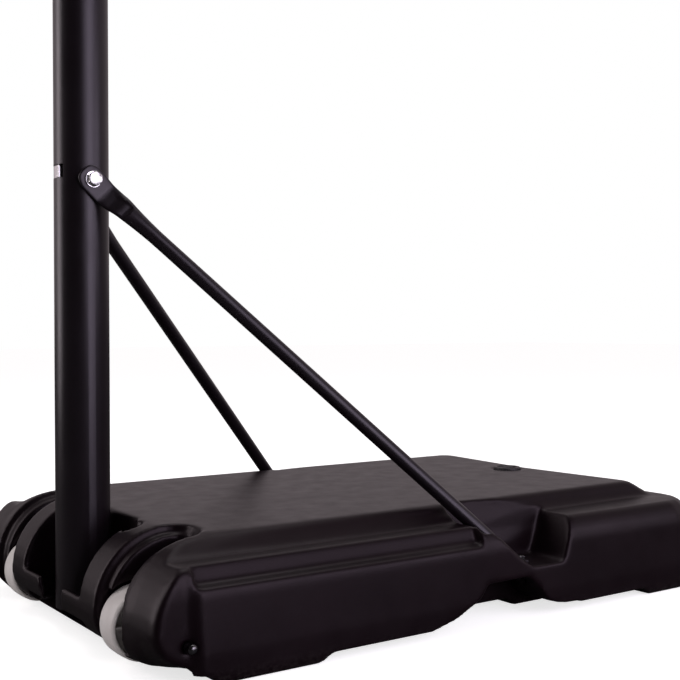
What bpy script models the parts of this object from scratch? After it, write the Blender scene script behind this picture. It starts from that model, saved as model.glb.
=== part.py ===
"""Portable basketball stand: a moulded ballast base on two wheels, a braced round pole,
a sliding upper pole with its height pin, and the board, rim and net on top.

Metres. X points to the court, Y to the left, Z up. The origin is on the floor under the
middle of the base. Lengths along X are written from the pole's axis, which is at POLE_X.
"""

from math import atan2, cos, pi, sin, tan

import bmesh
import bpy
from mathutils import Matrix, Vector

# Driving dimensions
POLE_R = 0.035
POLE_WALL = 0.002
GAP = 0.0003
BASE_REAR = -0.046
BASE_FRONT = 0.890
BASE_HALF = 0.311
DECK_Z = 0.152
LEDGE_Z = 0.129
RIM_Z = 2.286
LIFT = 0.762
BOARD_WIDTH = 1.118
BOARD_HEIGHT = 0.737
RIM_INNER_R = 0.2286

# Places along the pole and the base
POLE_X = -(BASE_REAR + BASE_FRONT) / 2
POLE_FOOT_Z = 0.021
POLE_TOP_Z = 1.530
UNDERSIDE_Z = 0.011

# Rear end of the base: one side outline shared by lobes and fenders
REAR_R = 0.0955
REAR_CENTRE = (0.0495, 0.057)
REAR_LOW_R = 0.033
FENDER_LOW_R = 0.045
LOBE_HALF = 0.3005
SLOT_HALF = 0.100
SLOT_FRONT = 0.0385
SLOT_FLOOR_Z = 0.0205
CURB_X = -0.038
CURB_Z = 0.066
GROOVE_INNER, GROOVE_OUTER = 0.150, 0.199
GROOVE_MOUTH = 0.219
GROOVE_FRONT = 0.070
CHANNEL_INNER = 0.163
FENDER_STEP = 0.011

# Wheels and axle
AXLE_Z = 0.046
AXLE_R = 0.0045
AXLE_END = 0.3122
AXLE_SEAT = 0.2985
WHEEL_R = 0.043
WHEEL_WIDTH = 0.040
WHEEL_Y = 0.1745
BORE_CLEARANCE = 0.0003

# Strut pockets
POCKET_BACK = 0.240
LIP_INNER = 0.296
POCKET_FLOOR_Z = 0.070
RECESS_TOP_Z = 0.057
NUT_ROOM_R = 0.0095

# Struts and their bolts
BOLT_Z = 0.580
STRUT_R = 0.0097
STRUT_TOP = Vector((0.0003, 0.0352, 0.580))
STRUT_AIM = Vector((0.467, 0.2693, 0.1058))
PADDLE_HALF_THICK = 0.0025
PADDLE_HALF_WIDTH = 0.0168
STRUT_FOOT = (0.513, 0.277)
M10_R = 0.005
M8_R = 0.004
NUT_AF = 0.0172

# Sliding upper pole and height pin
UPPER_R = 0.03175
UPPER_WALL = 0.002
STOP_LOW_Z = 0.5837
STOP_HIGH_Z = 0.6003
STOP_HALF = 0.0083
STOP_WINDOW_HALF = 0.0165
PIN_Z = 1.440
PIN_R = 0.0048
PIN_OUT = Vector((0, -1, 0))
HOLE_PITCH = LIFT / 5
UPPER_BOTTOM_Z = STOP_HIGH_Z + GAP
UPPER_TOP_Z = 2.660

# Board, its frame and the rim
SADDLE_X = 0.077
FRAME_DEPTH = 0.024
FRAME_BAR = 0.026
PANEL_THICK = 0.005
PANEL_X = SADDLE_X + GAP + FRAME_DEPTH + GAP
PANEL_FRONT = PANEL_X + PANEL_THICK
BOARD_BOTTOM_Z = RIM_Z - 0.130
BOARD_MID_Z = BOARD_BOTTOM_Z + BOARD_HEIGHT / 2
SADDLE_Z = (2.330, 2.560)
RAIL_HEIGHT = 0.050
RIM_ROD_R = 0.008
RIM_SETBACK = 0.152
RIM_X = PANEL_FRONT + RIM_SETBACK + RIM_INNER_R
RIM_CENTRE_Z = RIM_Z - RIM_ROD_R
RIM_BOLTS_Y = 0.045
RIM_BOLTS_Z = (RIM_Z - 0.030, RIM_Z - 0.085)
HOOKS = 12
NET_DEPTH = 0.400


def clear_scene():
    for thing in list(bpy.data.objects):
        bpy.data.objects.remove(thing)


def collection(name):
    made = bpy.data.collections.new(name)
    bpy.context.scene.collection.children.link(made)
    return made


clear_scene()
PARTS = collection("basketball_stand")
CUTTERS = collection("cutters")


def material(name, colour, roughness, metallic=0.0, alpha=1.0):
    made = bpy.data.materials.new(name)
    made.use_nodes = True
    shader = made.node_tree.nodes["Principled BSDF"]
    shader.inputs["Base Color"].default_value = (*colour, 1.0)
    shader.inputs["Roughness"].default_value = roughness
    shader.inputs["Metallic"].default_value = metallic
    shader.inputs["Alpha"].default_value = alpha
    return made


BLACK_PLASTIC = material("black_plastic", (0.022, 0.017, 0.020), 0.42)
BLACK_PAINT = material("black_paint", (0.012, 0.010, 0.013), 0.33)
CAP_PLASTIC = material("cap_plastic", (0.015, 0.013, 0.015), 0.5)
PALE_PLASTIC = material("pale_plastic", (0.55, 0.52, 0.50), 0.55)
BRIGHT_ZINC = material("bright_zinc", (0.80, 0.80, 0.82), 0.22, 1.0)
DARK_ZINC = material("dark_zinc", (0.30, 0.30, 0.31), 0.35, 1.0)
CLEAR_PANEL = material("clear_panel", (0.85, 0.90, 0.92), 0.08, 0.0, 0.35)
ORANGE_PAINT = material("orange_paint", (0.72, 0.13, 0.02), 0.4)
WHITE_CORD = material("white_cord", (0.80, 0.80, 0.78), 0.9)


def place(thing, group=PARTS):
    """Links an object to one collection; a cutter is drawn as a wire and never rendered."""
    group.objects.link(thing)
    if group is CUTTERS:
        thing.hide_render = True
        thing.display_type = "WIRE"
    return thing


def finish(thing, paint, sharp_degrees=35):
    """Gives a mesh its material and smooth shading with its corners kept sharp."""
    thing.data.materials.clear()
    thing.data.materials.append(paint)
    thing.data.shade_smooth()
    thing.data.set_sharp_from_angle(angle=sharp_degrees * pi / 180)
    return thing


def mesh_object(name, shape, group=PARTS):
    """Turns a bmesh into an object, its faces pointing out."""
    bmesh.ops.recalc_face_normals(shape, faces=shape.faces)
    mesh = bpy.data.meshes.new(name)
    shape.to_mesh(mesh)
    shape.free()
    return place(bpy.data.objects.new(name, mesh), group)


def boolean(target, tool, operation):
    modifier = target.modifiers.new(f"{operation.lower()}_{tool.name}", "BOOLEAN")
    modifier.operation = operation
    modifier.solver = "EXACT"
    modifier.object = tool


def cut(target, *tools):
    for tool in tools:
        boolean(target, tool, "DIFFERENCE")


def weld_on(target, *tools):
    for tool in tools:
        boolean(target, tool, "UNION")


def cylinder(name, radius, start, end, group=CUTTERS, sides=32):
    """A round bar from one point to another, or a hexagonal one with six sides."""
    start, end = Vector(start), Vector(end)
    along = end - start
    turn = along.to_track_quat("Z", "Y").to_matrix().to_4x4()
    shape = bmesh.new()
    bmesh.ops.create_cone(
        shape, cap_ends=True, segments=sides, radius1=radius, radius2=radius,
        depth=along.length, matrix=Matrix.Translation((start + end) / 2) @ turn,
    )
    return mesh_object(name, shape, group)


def block(name, low, high, group=CUTTERS):
    low, high = Vector(low), Vector(high)
    size = Matrix.Diagonal((*(high - low), 1))
    shape = bmesh.new()
    bmesh.ops.create_cube(shape, size=1, matrix=Matrix.Translation((low + high) / 2) @ size)
    return mesh_object(name, shape, group)


def turned(name, profile, axis, centre, group=PARTS, steps=22):
    """Revolves (radius, height) points, outer side first and top to bottom, about an axis."""
    mesh = bpy.data.meshes.new(name)
    closed = profile[0][0] > 0 and profile[-1][0] > 0
    edges = [(i, i + 1) for i in range(len(profile) - 1)]
    if closed:
        edges.append((len(profile) - 1, 0))
    mesh.from_pydata([(r, 0, h) for r, h in profile], edges, [])
    thing = place(bpy.data.objects.new(name, mesh), group)
    screw = thing.modifiers.new("turn", "SCREW")
    screw.steps = screw.render_steps = steps
    screw.use_merge_vertices = True
    screw.merge_threshold = 0.00005
    thing.location = centre
    thing.rotation_euler = Vector(axis).to_track_quat("Z", "Y").to_euler()
    return thing


def outline_plate(name, outlines, plane, low, high, group=CUTTERS):
    """Fills flat outlines and extrudes them from low to high along the plane's normal.

    In plane XY an outline is (x, y), in XZ it is (x, z), and in YZ it is (y, z).
    """
    curve = bpy.data.curves.new(name, "CURVE")
    curve.dimensions = "2D"
    curve.fill_mode = "BOTH"
    curve.extrude = (high - low) / 2
    for outline in outlines:
        spline = curve.splines.new("POLY")
        spline.points.add(len(outline) - 1)
        for point, (u, v) in zip(spline.points, outline):
            point.co = (u, v, 0, 1)
        spline.use_cyclic_u = True
    flat = bpy.data.objects.new(name, curve)
    PARTS.objects.link(flat)
    middle = (low + high) / 2
    turns = {
        "XY": Matrix.Translation((0, 0, middle)),
        "XZ": Matrix.Translation((0, middle, 0)) @ Matrix.Rotation(pi / 2, 4, "X"),
        "YZ": Matrix(((0, 0, 1, middle), (1, 0, 0, 0), (0, 1, 0, 0), (0, 0, 0, 1))),
    }
    flat.matrix_world = turns[plane]
    return as_mesh(flat, group)


def as_mesh(flat, group=PARTS):
    """Replaces a curve by a mesh in the same place, its caps welded to its sides."""
    bpy.context.view_layer.update()
    graph = bpy.context.evaluated_depsgraph_get()
    mesh = bpy.data.meshes.new_from_object(flat.evaluated_get(graph))
    where, name = flat.matrix_world.copy(), flat.name
    bpy.data.objects.remove(flat)
    mesh.transform(where)
    shape = bmesh.new()
    shape.from_mesh(mesh)
    bpy.data.meshes.remove(mesh)
    bmesh.ops.remove_doubles(shape, verts=shape.verts, dist=0.00001)
    return mesh_object(name, shape, group)


def rod(name, points, radius, group=PARTS, sides=2):
    """A bent rod: a poly curve with a round bevel and filled caps, made a mesh."""
    curve = bpy.data.curves.new(name, "CURVE")
    curve.dimensions = "3D"
    curve.bevel_depth = radius
    curve.bevel_resolution = sides
    curve.use_fill_caps = True
    spline = curve.splines.new("POLY")
    spline.points.add(len(points) - 1)
    for point, place_of in zip(spline.points, points):
        point.co = (*place_of, 1)
    thing = bpy.data.objects.new(name, curve)
    PARTS.objects.link(thing)
    return as_mesh(thing, group)


def arc(centre, radius, first, last, steps):
    """Points on a circle between two angles in degrees, both ends included."""
    for i in range(steps + 1):
        angle = (first + (last - first) * i / steps) * pi / 180
        yield (centre[0] + radius * cos(angle), centre[1] + radius * sin(angle))


def rounded(corners, steps=4):
    """Rounds each (x, y, radius) corner of a closed outline with an arc of equal steps."""
    points = []
    count = len(corners)
    for i, (x, y, radius) in enumerate(corners):
        here = Vector((x, y))
        back = (Vector(corners[i - 1][:2]) - here).normalized()
        ahead = (Vector(corners[(i + 1) % count][:2]) - here).normalized()
        if radius <= 0:
            points.append((x, y))
            continue
        half = back.angle(ahead) / 2
        middle = here + (back + ahead).normalized() * (radius / sin(half))
        start = here + back * (radius / tan(half)) - middle
        sweep = (here + ahead * (radius / tan(half)) - middle).angle_signed(start)
        for k in range(steps + 1):
            spoke = start.copy()
            spoke.rotate(Matrix.Rotation(sweep * k / steps, 2))
            points.append(tuple(middle + spoke))
    return points


def mirrored(half):
    """A whole outline from its right half, (x, y, radius) with y as a distance from the middle."""
    right = [(x, -y, r) for x, y, r in half]
    left = [(x, y, r) for x, y, r in reversed(half) if y > 0]
    return right + left


def loft(name, rings, group=PARTS):
    """Skins rings of equal point counts, one above another, and closes both ends."""
    shape = bmesh.new()
    rows = [[shape.verts.new(point) for point in ring] for ring in rings]
    count = len(rows[0])
    for low, high in zip(rows, rows[1:]):
        for i in range(count):
            j = (i + 1) % count
            shape.faces.new((low[i], low[j], high[j], high[i]))
    shape.faces.new(rows[0])
    shape.faces.new(rows[-1])
    return mesh_object(name, shape, group)


def from_pole(outline):
    """Moves an outline's x values, which start at the pole's axis, into the part's frame."""
    return [(x + POLE_X, y) for x, y in outline]


# The moulded base

def tank_ring(z, inset):
    """The lower body's outline at one height, drawn in from its widest line by the inset."""
    side = BASE_HALF - inset
    lobe = min(LOBE_HALF - 0.4 * inset, side - 0.0015)
    half = [
        (BASE_REAR - 0.030, lobe, 0.010),
        (0.000, lobe, 0.012 + inset / 2),
        (0.014, side, 0.012),
        (BASE_FRONT - 1.3 * inset, side, 0.075 - inset),
    ]
    return [(x + POLE_X, y, z) for x, y in rounded(mirrored(half), 4)]


def tank():
    """The lower body: a foot radius, a wall with draft, a rounded shoulder and a flat ledge."""
    section = [
        (0.000, 0.005), (0.005, 0.001), (0.012, 0.000), (0.036, 0.000), (0.098, 0.0045),
        (0.110, 0.0075), (0.119, 0.012), (0.1255, 0.0165), (LEDGE_Z, 0.022),
    ]
    return loft("base_tank", [tank_ring(z, inset) for z, inset in section])


def deck_ring(z, slope):
    """The raised deck's outline: slope 0 is its top edge, 1 the line where it meets the ledge."""
    top = [(-0.100, 0.227), (0.030, 0.227), (0.112, 0.232), (0.812, 0.222), (0.795, 0.0)]
    low = [(-0.100, 0.254), (0.030, 0.254), (0.112, 0.256), (0.848, 0.234), (0.832, 0.0)]
    radii = (0, 0.030, 0.050, 0.016, 0)
    half = []
    for (x0, y0), (x1, y1), radius in zip(top, low, radii):
        half.append((x0 + (x1 - x0) * slope, y0 + (y1 - y0) * slope, radius))
    return [(x + POLE_X, y, z) for x, y in rounded(mirrored(half), 4)]


def deck():
    """The raised deck: a crowned edge and a slope down to the ledge."""
    section = [(0.100, 1.0), (LEDGE_Z, 1.0), (LEDGE_Z + 0.005, 0.72), (0.146, 0.18),
               (0.1505, -0.06), (DECK_Z, -0.40)]
    return loft("deck", [deck_ring(z, slope) for z, slope in section], CUTTERS)


def side_outline(radius, low_r, bottom):
    """The base seen from the side: a round rear end, its lower corner, and the two foot bars."""
    cx, cz = REAR_CENTRE
    rise = min(low_r, 0.0595 - bottom)
    low = (cx - radius + low_r, bottom + rise)
    corner = [(low[0] + (x - low[0]), low[1] + (z - low[1]) * rise / low_r)
              for x, z in arc(low, low_r, 184, 270, 5)]
    return from_pole([
        (0.900, 0.250), (0.120, 0.250), (0.085, cz + radius + 0.004),
        *arc(REAR_CENTRE, radius, 90, 176, 10), *corner,
        (max(0.020, low[0] + 0.003), bottom), (0.036, -0.001), (0.167, -0.001),
        (0.186, UNDERSIDE_Z), (0.730, UNDERSIDE_Z), (0.746, -0.001), (0.850, -0.001),
        (0.866, UNDERSIDE_Z), (0.900, UNDERSIDE_Z),
    ])


def side_form():
    """The side outline carried across the base: distance out, rear radius, corner and its foot."""
    crown = [
        (0.149, REAR_R, FENDER_LOW_R, 0.012), (0.160, REAR_R, REAR_LOW_R, 0.012),
        (0.204, REAR_R, REAR_LOW_R, 0.012), (0.213, 0.0940, REAR_LOW_R, 0.012),
        (0.226, 0.0920, REAR_LOW_R, 0.012), (0.242, 0.0905, 0.034, 0.0125),
        (0.262, 0.0900, 0.045, 0.014), (0.284, 0.0895, 0.058, 0.017),
        (0.292, 0.0885, 0.058, 0.018), (0.2975, 0.0865, 0.056, 0.020),
        (0.3005, 0.0830, 0.052, 0.021), (0.3010, REAR_R, REAR_LOW_R, 0.012),
        (0.340, REAR_R, REAR_LOW_R, 0.012),
    ]
    stations = [(-y, *shape) for y, *shape in reversed(crown)] + crown
    rings = []
    for y, radius, low_r, bottom in stations:
        rings.append([(x, y, z) for x, z in side_outline(radius, low_r, bottom)])
    return loft("side_form", rings, CUTTERS)


def pole_slot():
    """Cutters for the open slot that holds the pole's foot, its curb and the curb's notch."""
    slot = rounded([(CURB_X, -SLOT_HALF, 0), (SLOT_FRONT, -SLOT_HALF, 0.018),
                    (SLOT_FRONT, SLOT_HALF, 0.018), (CURB_X, SLOT_HALF, 0)], 4)
    yield outline_plate("slot", [from_pole(slot)], "XY", SLOT_FLOOR_Z, 0.260)
    notch = [
        (-SLOT_HALF, CURB_Z), (-0.042, CURB_Z), (-0.027, 0.030), (0.027, 0.030),
        (0.042, CURB_Z), (SLOT_HALF, CURB_Z), (SLOT_HALF, 0.260), (-SLOT_HALF, 0.260),
    ]
    yield outline_plate("curb_notch", [notch], "YZ", POLE_X - 0.100, POLE_X + CURB_X + 0.001)
    for side in (-1, 1):
        where = (POLE_X + SLOT_FRONT - 0.0165, side * (SLOT_HALF + 0.006))
        yield cylinder(f"slot_dimple_{side}", 0.012, (*where, 0.116), (*where, 0.200), sides=20)


def groove(side):
    """Cutters for one wheel's groove: a stepped top channel, a deep channel and the wheel's room."""
    name = "left" if side > 0 else "right"
    inner, deep, outer = (side * y for y in (GROOVE_INNER, CHANNEL_INNER, GROOVE_OUTER))
    mouth = side * GROOVE_MOUTH
    step = rounded([(-0.120, inner, 0), (GROOVE_FRONT, inner, 0.028),
                    (GROOVE_FRONT, mouth, 0.028), (-0.120, mouth, 0)], 6)
    channel = outline_plate(f"groove_step_{name}", [from_pole(step)], "XY", 0.020, 0.260)
    core = from_pole([
        *arc(REAR_CENTRE, REAR_R - FENDER_STEP, 205, 90, 11),
        (0.120, REAR_CENTRE[1] + REAR_R - FENDER_STEP), (0.120, 0.0), (0.0, 0.0),
    ])
    low, high = sorted((inner - side * 0.01, mouth + side * 0.01))
    cut(channel, outline_plate(f"fender_core_{name}", [core], "XZ", low, high))
    yield channel
    deep_outline = rounded([(-0.120, deep, 0), (GROOVE_FRONT - 0.005, deep, 0.016),
                            (GROOVE_FRONT - 0.005, side * 0.197, 0.016),
                            (-0.120, side * 0.197, 0)], 5)
    yield outline_plate(f"groove_deep_{name}", [from_pole(deep_outline)], "XY", -0.010, 0.260)
    ends = [(POLE_X, y, AXLE_Z) for y in (inner, outer)]
    yield cylinder(f"wheel_room_{name}", WHEEL_R + 0.004, *ends, sides=40)


def strut_pocket(side):
    """Cutters for one strut's pocket: the inner well, its low outer lip and the recess below."""
    name = "left" if side > 0 else "right"
    well = [(0.416, 0.200), (0.422, 0.152), (0.434, 0.110), (0.458, 0.078), (0.472, POCKET_FLOOR_Z),
            (0.563, POCKET_FLOOR_Z), (0.570, 0.074), (0.597, 0.140), (0.604, 0.200)]
    lip = [(0.432, 0.200), (0.436, 0.1285), (0.4526, 0.1173), (0.4795, 0.0936),
           (0.5042, 0.0745), (0.512, POCKET_FLOOR_Z), (0.563, POCKET_FLOOR_Z), (0.570, 0.074),
           (0.597, 0.140), (0.604, 0.200)]
    below = [(0.325, -0.020), (0.332, UNDERSIDE_Z - 0.001), (0.350, 0.0145), (0.372, 0.020),
             (0.396, 0.031), (0.417, 0.040), (0.430, RECESS_TOP_Z), (0.503, RECESS_TOP_Z),
             (0.516, 0.046), (0.537, 0.021), (0.560, 0.0145), (0.598, UNDERSIDE_Z + 0.001),
             (0.600, -0.020)]
    far = 0.340
    for title, outline, start in (
        ("well", well, POCKET_BACK), ("lip", lip, LIP_INNER - 0.008), ("recess", below, POCKET_BACK)
    ):
        end = LIP_INNER if title == "well" else far
        low, high = sorted((side * start, side * end))
        yield outline_plate(f"{title}_{name}", [from_pole(outline)], "XZ", low, high)


def shoulder_step(side):
    """The step along the rear half's shoulder: the wall starts proud of the slope above it."""
    name = "left" if side > 0 else "right"
    profile = [(0.2800, 0.1310), (0.2895, 0.1100), (0.3000, 0.1070), (0.345, 0.1070),
               (0.345, 0.150), (0.2800, 0.150)]
    outline = [(side * y, z) for y, z in profile]
    return outline_plate(f"step_{name}", [outline], "YZ", POLE_X + 0.010, POLE_X + 0.425)


def centre_foot():
    """A broad bar under the middle that comes down to the floor between the strut pockets."""
    bar = [(0.520, UNDERSIDE_Z + 0.010), (0.524, UNDERSIDE_Z), (0.540, 0.0), (0.596, 0.0),
           (0.614, UNDERSIDE_Z), (0.618, UNDERSIDE_Z + 0.010)]
    return outline_plate("centre_foot", [from_pole(bar)], "XZ", 0.002 - POCKET_BACK,
                         POCKET_BACK - 0.002)


def base():
    body = tank()
    weld_on(body, deck())
    boolean(body, side_form(), "INTERSECT")
    weld_on(body, centre_foot())
    cut(body, *pole_slot())
    for side in (-1, 1):
        cut(body, *groove(side), *strut_pocket(side), shoulder_step(side))
        seat = [(POLE_X, side * y, AXLE_Z) for y in (AXLE_SEAT, 0.330)]
        cut(body, cylinder(f"axle_seat_{side}", 0.0080, *seat, sides=20))
        bolt = [(POLE_X + STRUT_FOOT[0], side * STRUT_FOOT[1], z) for z in (0.040, 0.080)]
        cut(body, cylinder(f"strut_hole_{side}", M8_R + 0.0005, *bolt, sides=20))
        room = [(*bolt[0][:2], z) for z in (0.0, RECESS_TOP_Z)]
        cut(body, cylinder(f"nut_room_{side}", NUT_ROOM_R, *room, sides=24))
    cut(body, cylinder("axle_bore", AXLE_R + BORE_CLEARANCE, (POLE_X, -0.330, AXLE_Z),
                       (POLE_X, 0.330, AXLE_Z), sides=24))
    filler = (POLE_X + 0.752, 0.0)
    cut(body, cylinder("cap_recess", 0.0270, (*filler, DECK_Z - 0.003), (*filler, 0.200)))
    cut(body, cylinder("filler_hole", 0.0170, (*filler, 0.120), (*filler, 0.200)))
    return finish(body, BLACK_PLASTIC, 30)


def filler_cap():
    """A screw cap: plug in the neck, broad flange and a grip bar across a dished top."""
    z = DECK_Z - 0.003 + GAP
    cap = turned("filler_cap", [
        (0.0, 0.0035), (0.0165, 0.0035), (0.0180, 0.0060), (0.0215, 0.0060), (0.0228, 0.0046),
        (0.0228, 0.0), (0.0162, 0.0), (0.0162, -0.014), (0.0150, -0.015), (0.0, -0.015),
    ], (0, 0, 1), (POLE_X + 0.752, 0, z))
    grip = block("cap_grip", (-0.0168, -0.0025, 0.002), (0.0168, 0.0025, 0.0058))
    grip.parent = cap
    weld_on(cap, grip)
    return finish(cap, CAP_PLASTIC)


# Wheels and axle

def wheel(side):
    """A moulded wheel: tread, thin web and a hub that runs on the axle."""
    name = "left" if side > 0 else "right"
    half, hub_half = WHEEL_WIDTH / 2, WHEEL_WIDTH / 2 + 0.0015
    bore = AXLE_R + BORE_CLEARANCE
    outer = [
        (bore, hub_half), (0.0125, hub_half), (0.0135, 0.004), (0.0365, 0.004), (0.0378, half),
        (WHEEL_R - 0.0025, half), (WHEEL_R, half - 0.0025),
    ]
    profile = outer + [(r, -h) for r, h in reversed(outer)]
    made = turned(f"wheel_{name}", profile, (0, 1, 0), (POLE_X, side * WHEEL_Y, AXLE_Z), steps=24)
    for i in range(6):
        angle = i * pi / 3
        middle = Vector((cos(angle), sin(angle), 0))
        across = Vector((-sin(angle), cos(angle), 0)) * 0.0016
        rib = rounded([(*(middle * 0.0125 + across).xy, 0), (*(middle * 0.0125 - across).xy, 0),
                       (*(middle * 0.0372 - across).xy, 0), (*(middle * 0.0372 + across).xy, 0)])
        spoke = outline_plate(f"wheel_rib_{name}_{i}", [rib], "XY", -0.014, 0.014)
        spoke.parent = made
        weld_on(made, spoke)
    return finish(made, PALE_PLASTIC)


def axle():
    bar = cylinder("axle", AXLE_R, (POLE_X, -AXLE_END, AXLE_Z), (POLE_X, AXLE_END, AXLE_Z),
                   PARTS, 24)
    return finish(bar, DARK_ZINC)


def axle_cap(side):
    """A small push-on cap that keeps the axle in, in its own seat in the wall."""
    name = "left" if side > 0 else "right"
    bore, end = AXLE_R + GAP, AXLE_END - AXLE_SEAT
    cap = turned(f"axle_cap_{name}", [
        (0.0, end + 0.0030), (0.0030, end + 0.0024), (0.0052, end + 0.0006), (0.0062, end - 0.0020),
        (0.0062, 0.0), (bore, 0.0), (bore, end + GAP), (0.0, end + GAP),
    ], (0, side, 0), (POLE_X, side * (AXLE_SEAT + GAP), AXLE_Z), steps=20)
    return finish(cap, BRIGHT_ZINC)


# Pole and struts

def tube(name, radius, wall, low, high, paint):
    profile = [(radius, high), (radius, low), (radius - wall, low), (radius - wall, high)]
    return finish(turned(name, profile, (0, 0, 1), (POLE_X, 0, 0), steps=36), paint)


def lower_pole():
    pole = tube("lower_pole", POLE_R, POLE_WALL, POLE_FOOT_Z, POLE_TOP_Z, BLACK_PAINT)
    across = [(POLE_X, y, 0) for y in (-0.050, 0.050)]
    for name, radius, z in (("axle", AXLE_R, AXLE_Z), ("strut_bolt", M10_R, BOLT_Z)):
        ends = [(x, y, z) for x, y, _ in across]
        cut(pole, cylinder(f"pole_{name}_hole", radius + BORE_CLEARANCE, *ends, sides=24))
    cut(pole, block("stop_window",
                    (POLE_X - 0.050, -STOP_WINDOW_HALF, STOP_LOW_Z - GAP),
                    (POLE_X - 0.015, STOP_WINDOW_HALF, STOP_HIGH_Z + GAP)))
    cut(pole, pin_hole("pole_pin_hole", PIN_Z))
    return pole


def pin_hole(name, z):
    """A hole for the height pin through one wall of a pole."""
    on_axis = Vector((POLE_X, 0, z))
    return cylinder(name, PIN_R + BORE_CLEARANCE, on_axis + PIN_OUT * 0.010,
                    on_axis + PIN_OUT * 0.050, sides=20)


def section_ring(centre, along, width_dir, half_width, half_thick, power, count=16):
    """A ring of a rounded flat bar: a superellipse of the two half sizes, square to its run."""
    along = along.normalized()
    u = (width_dir - along * width_dir.dot(along)).normalized()
    v = along.cross(u)
    ring = []
    for i in range(count):
        a = 2 * pi * i / count
        c, s = cos(a), sin(a)
        x = half_width * abs(c) ** power * (1 if c > 0 else -1)
        y = half_thick * abs(s) ** power * (1 if s > 0 else -1)
        ring.append(centre + u * x + v * y)
    return ring


def strut(side):
    """A round tube flattened at both ends: a paddle on the pole's bolt and a foot in the pocket."""
    name = "left" if side > 0 else "right"
    run = STRUT_AIM - STRUT_TOP
    paddle_y = POLE_R + GAP + PADDLE_HALF_THICK
    bolt = Vector((0, paddle_y, BOLT_Z))
    flat_run = Vector((run.x, 0, run.z)).normalized()
    foot_z = POCKET_FLOOR_Z + GAP + 0.0022
    foot = Vector((*STRUT_FOOT, foot_z))
    foot_run = Vector((run.x, run.y * 0.25, 0)).normalized()
    across, up = Vector((0, 1, 0)), Vector((0, 0, 1))
    steep = flat_run.cross(across)
    r, w, t = STRUT_R, PADDLE_HALF_WIDTH, PADDLE_HALF_THICK

    def axis(share):
        return STRUT_TOP + run * share

    stations = [
        (bolt - flat_run * 0.0170, flat_run, steep, 0.0060, t * 0.7, 0.9),
        (bolt - flat_run * 0.0155, flat_run, steep, 0.0105, t, 0.8),
        (bolt - flat_run * 0.0100, flat_run, steep, 0.0145, t, 0.7),
        (bolt, flat_run, steep, w + 0.0004, t, 0.6),
        (bolt + flat_run * 0.0200, flat_run, steep, w - 0.0002, t, 0.6),
        (bolt + flat_run * 0.0360 + across * 0.0060, flat_run * 3 + across, steep, 0.0157, 0.0036, 0.8),
        (axis(0.074), run, steep, 0.0142, 0.0058, 1.0),
        (axis(0.091), run, steep, 0.0130, 0.0072, 1.0),
        (axis(0.107), run, steep, 0.0118, 0.0083, 1.0),
        (axis(0.135), run, steep, 0.0104, 0.0094, 1.0),
        (axis(0.160), run, steep, r, r, 1.0),
        (axis(0.985), run, up, r, r, 1.0),
        (axis(1.005), run + foot_run * 0.1, up, 0.0088, 0.0104, 1.0),
        (foot - foot_run * 0.0200 + up * 0.0035, run + foot_run * 0.9, up, 0.0042, 0.0122, 0.9),
        (foot - foot_run * 0.0120, foot_run, up, 0.0022, 0.0128, 0.7),
        (foot + foot_run * 0.0040, foot_run, up, 0.0022, 0.0128, 0.7),
        (foot + foot_run * 0.0095, foot_run, up, 0.0022, 0.0095, 0.8),
        (foot + foot_run * 0.0120, foot_run, up, 0.0016, 0.0050, 0.9),
    ]
    rings = []
    for centre, along, width_dir, a, b, power in stations:
        ring = section_ring(centre, along, width_dir, a, b, power)
        rings.append([(p.x + POLE_X, p.y * side, p.z) for p in ring])
    made = loft(f"strut_{name}", rings)
    ends = [(POLE_X, side * y, BOLT_Z) for y in (paddle_y - 0.012, paddle_y + 0.020)]
    cut(made, cylinder(f"paddle_hole_{name}", M10_R + BORE_CLEARANCE, *ends, sides=20))
    ends = [(POLE_X + foot.x, side * foot.y, foot_z + z) for z in (-0.012, 0.020)]
    cut(made, cylinder(f"foot_hole_{name}", M8_R + 0.0005, *ends, sides=20))
    return finish(made, BLACK_PAINT)


def hex_nut(name, centre, axis, across_flats, height, bore, sides=16):
    """A hexagon nut, its bore clear of the thread it stands on."""
    axis = Vector(axis)
    start, end = Vector(centre), Vector(centre) + axis * height
    nut = cylinder(name, across_flats / 2 / cos(pi / 6), start, end, PARTS, 6)
    hole = cylinder(f"{name}_bore", bore, start - axis * 0.002, end + axis * 0.002, sides=sides)
    cut(nut, hole)
    return finish(nut, BRIGHT_ZINC)


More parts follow.
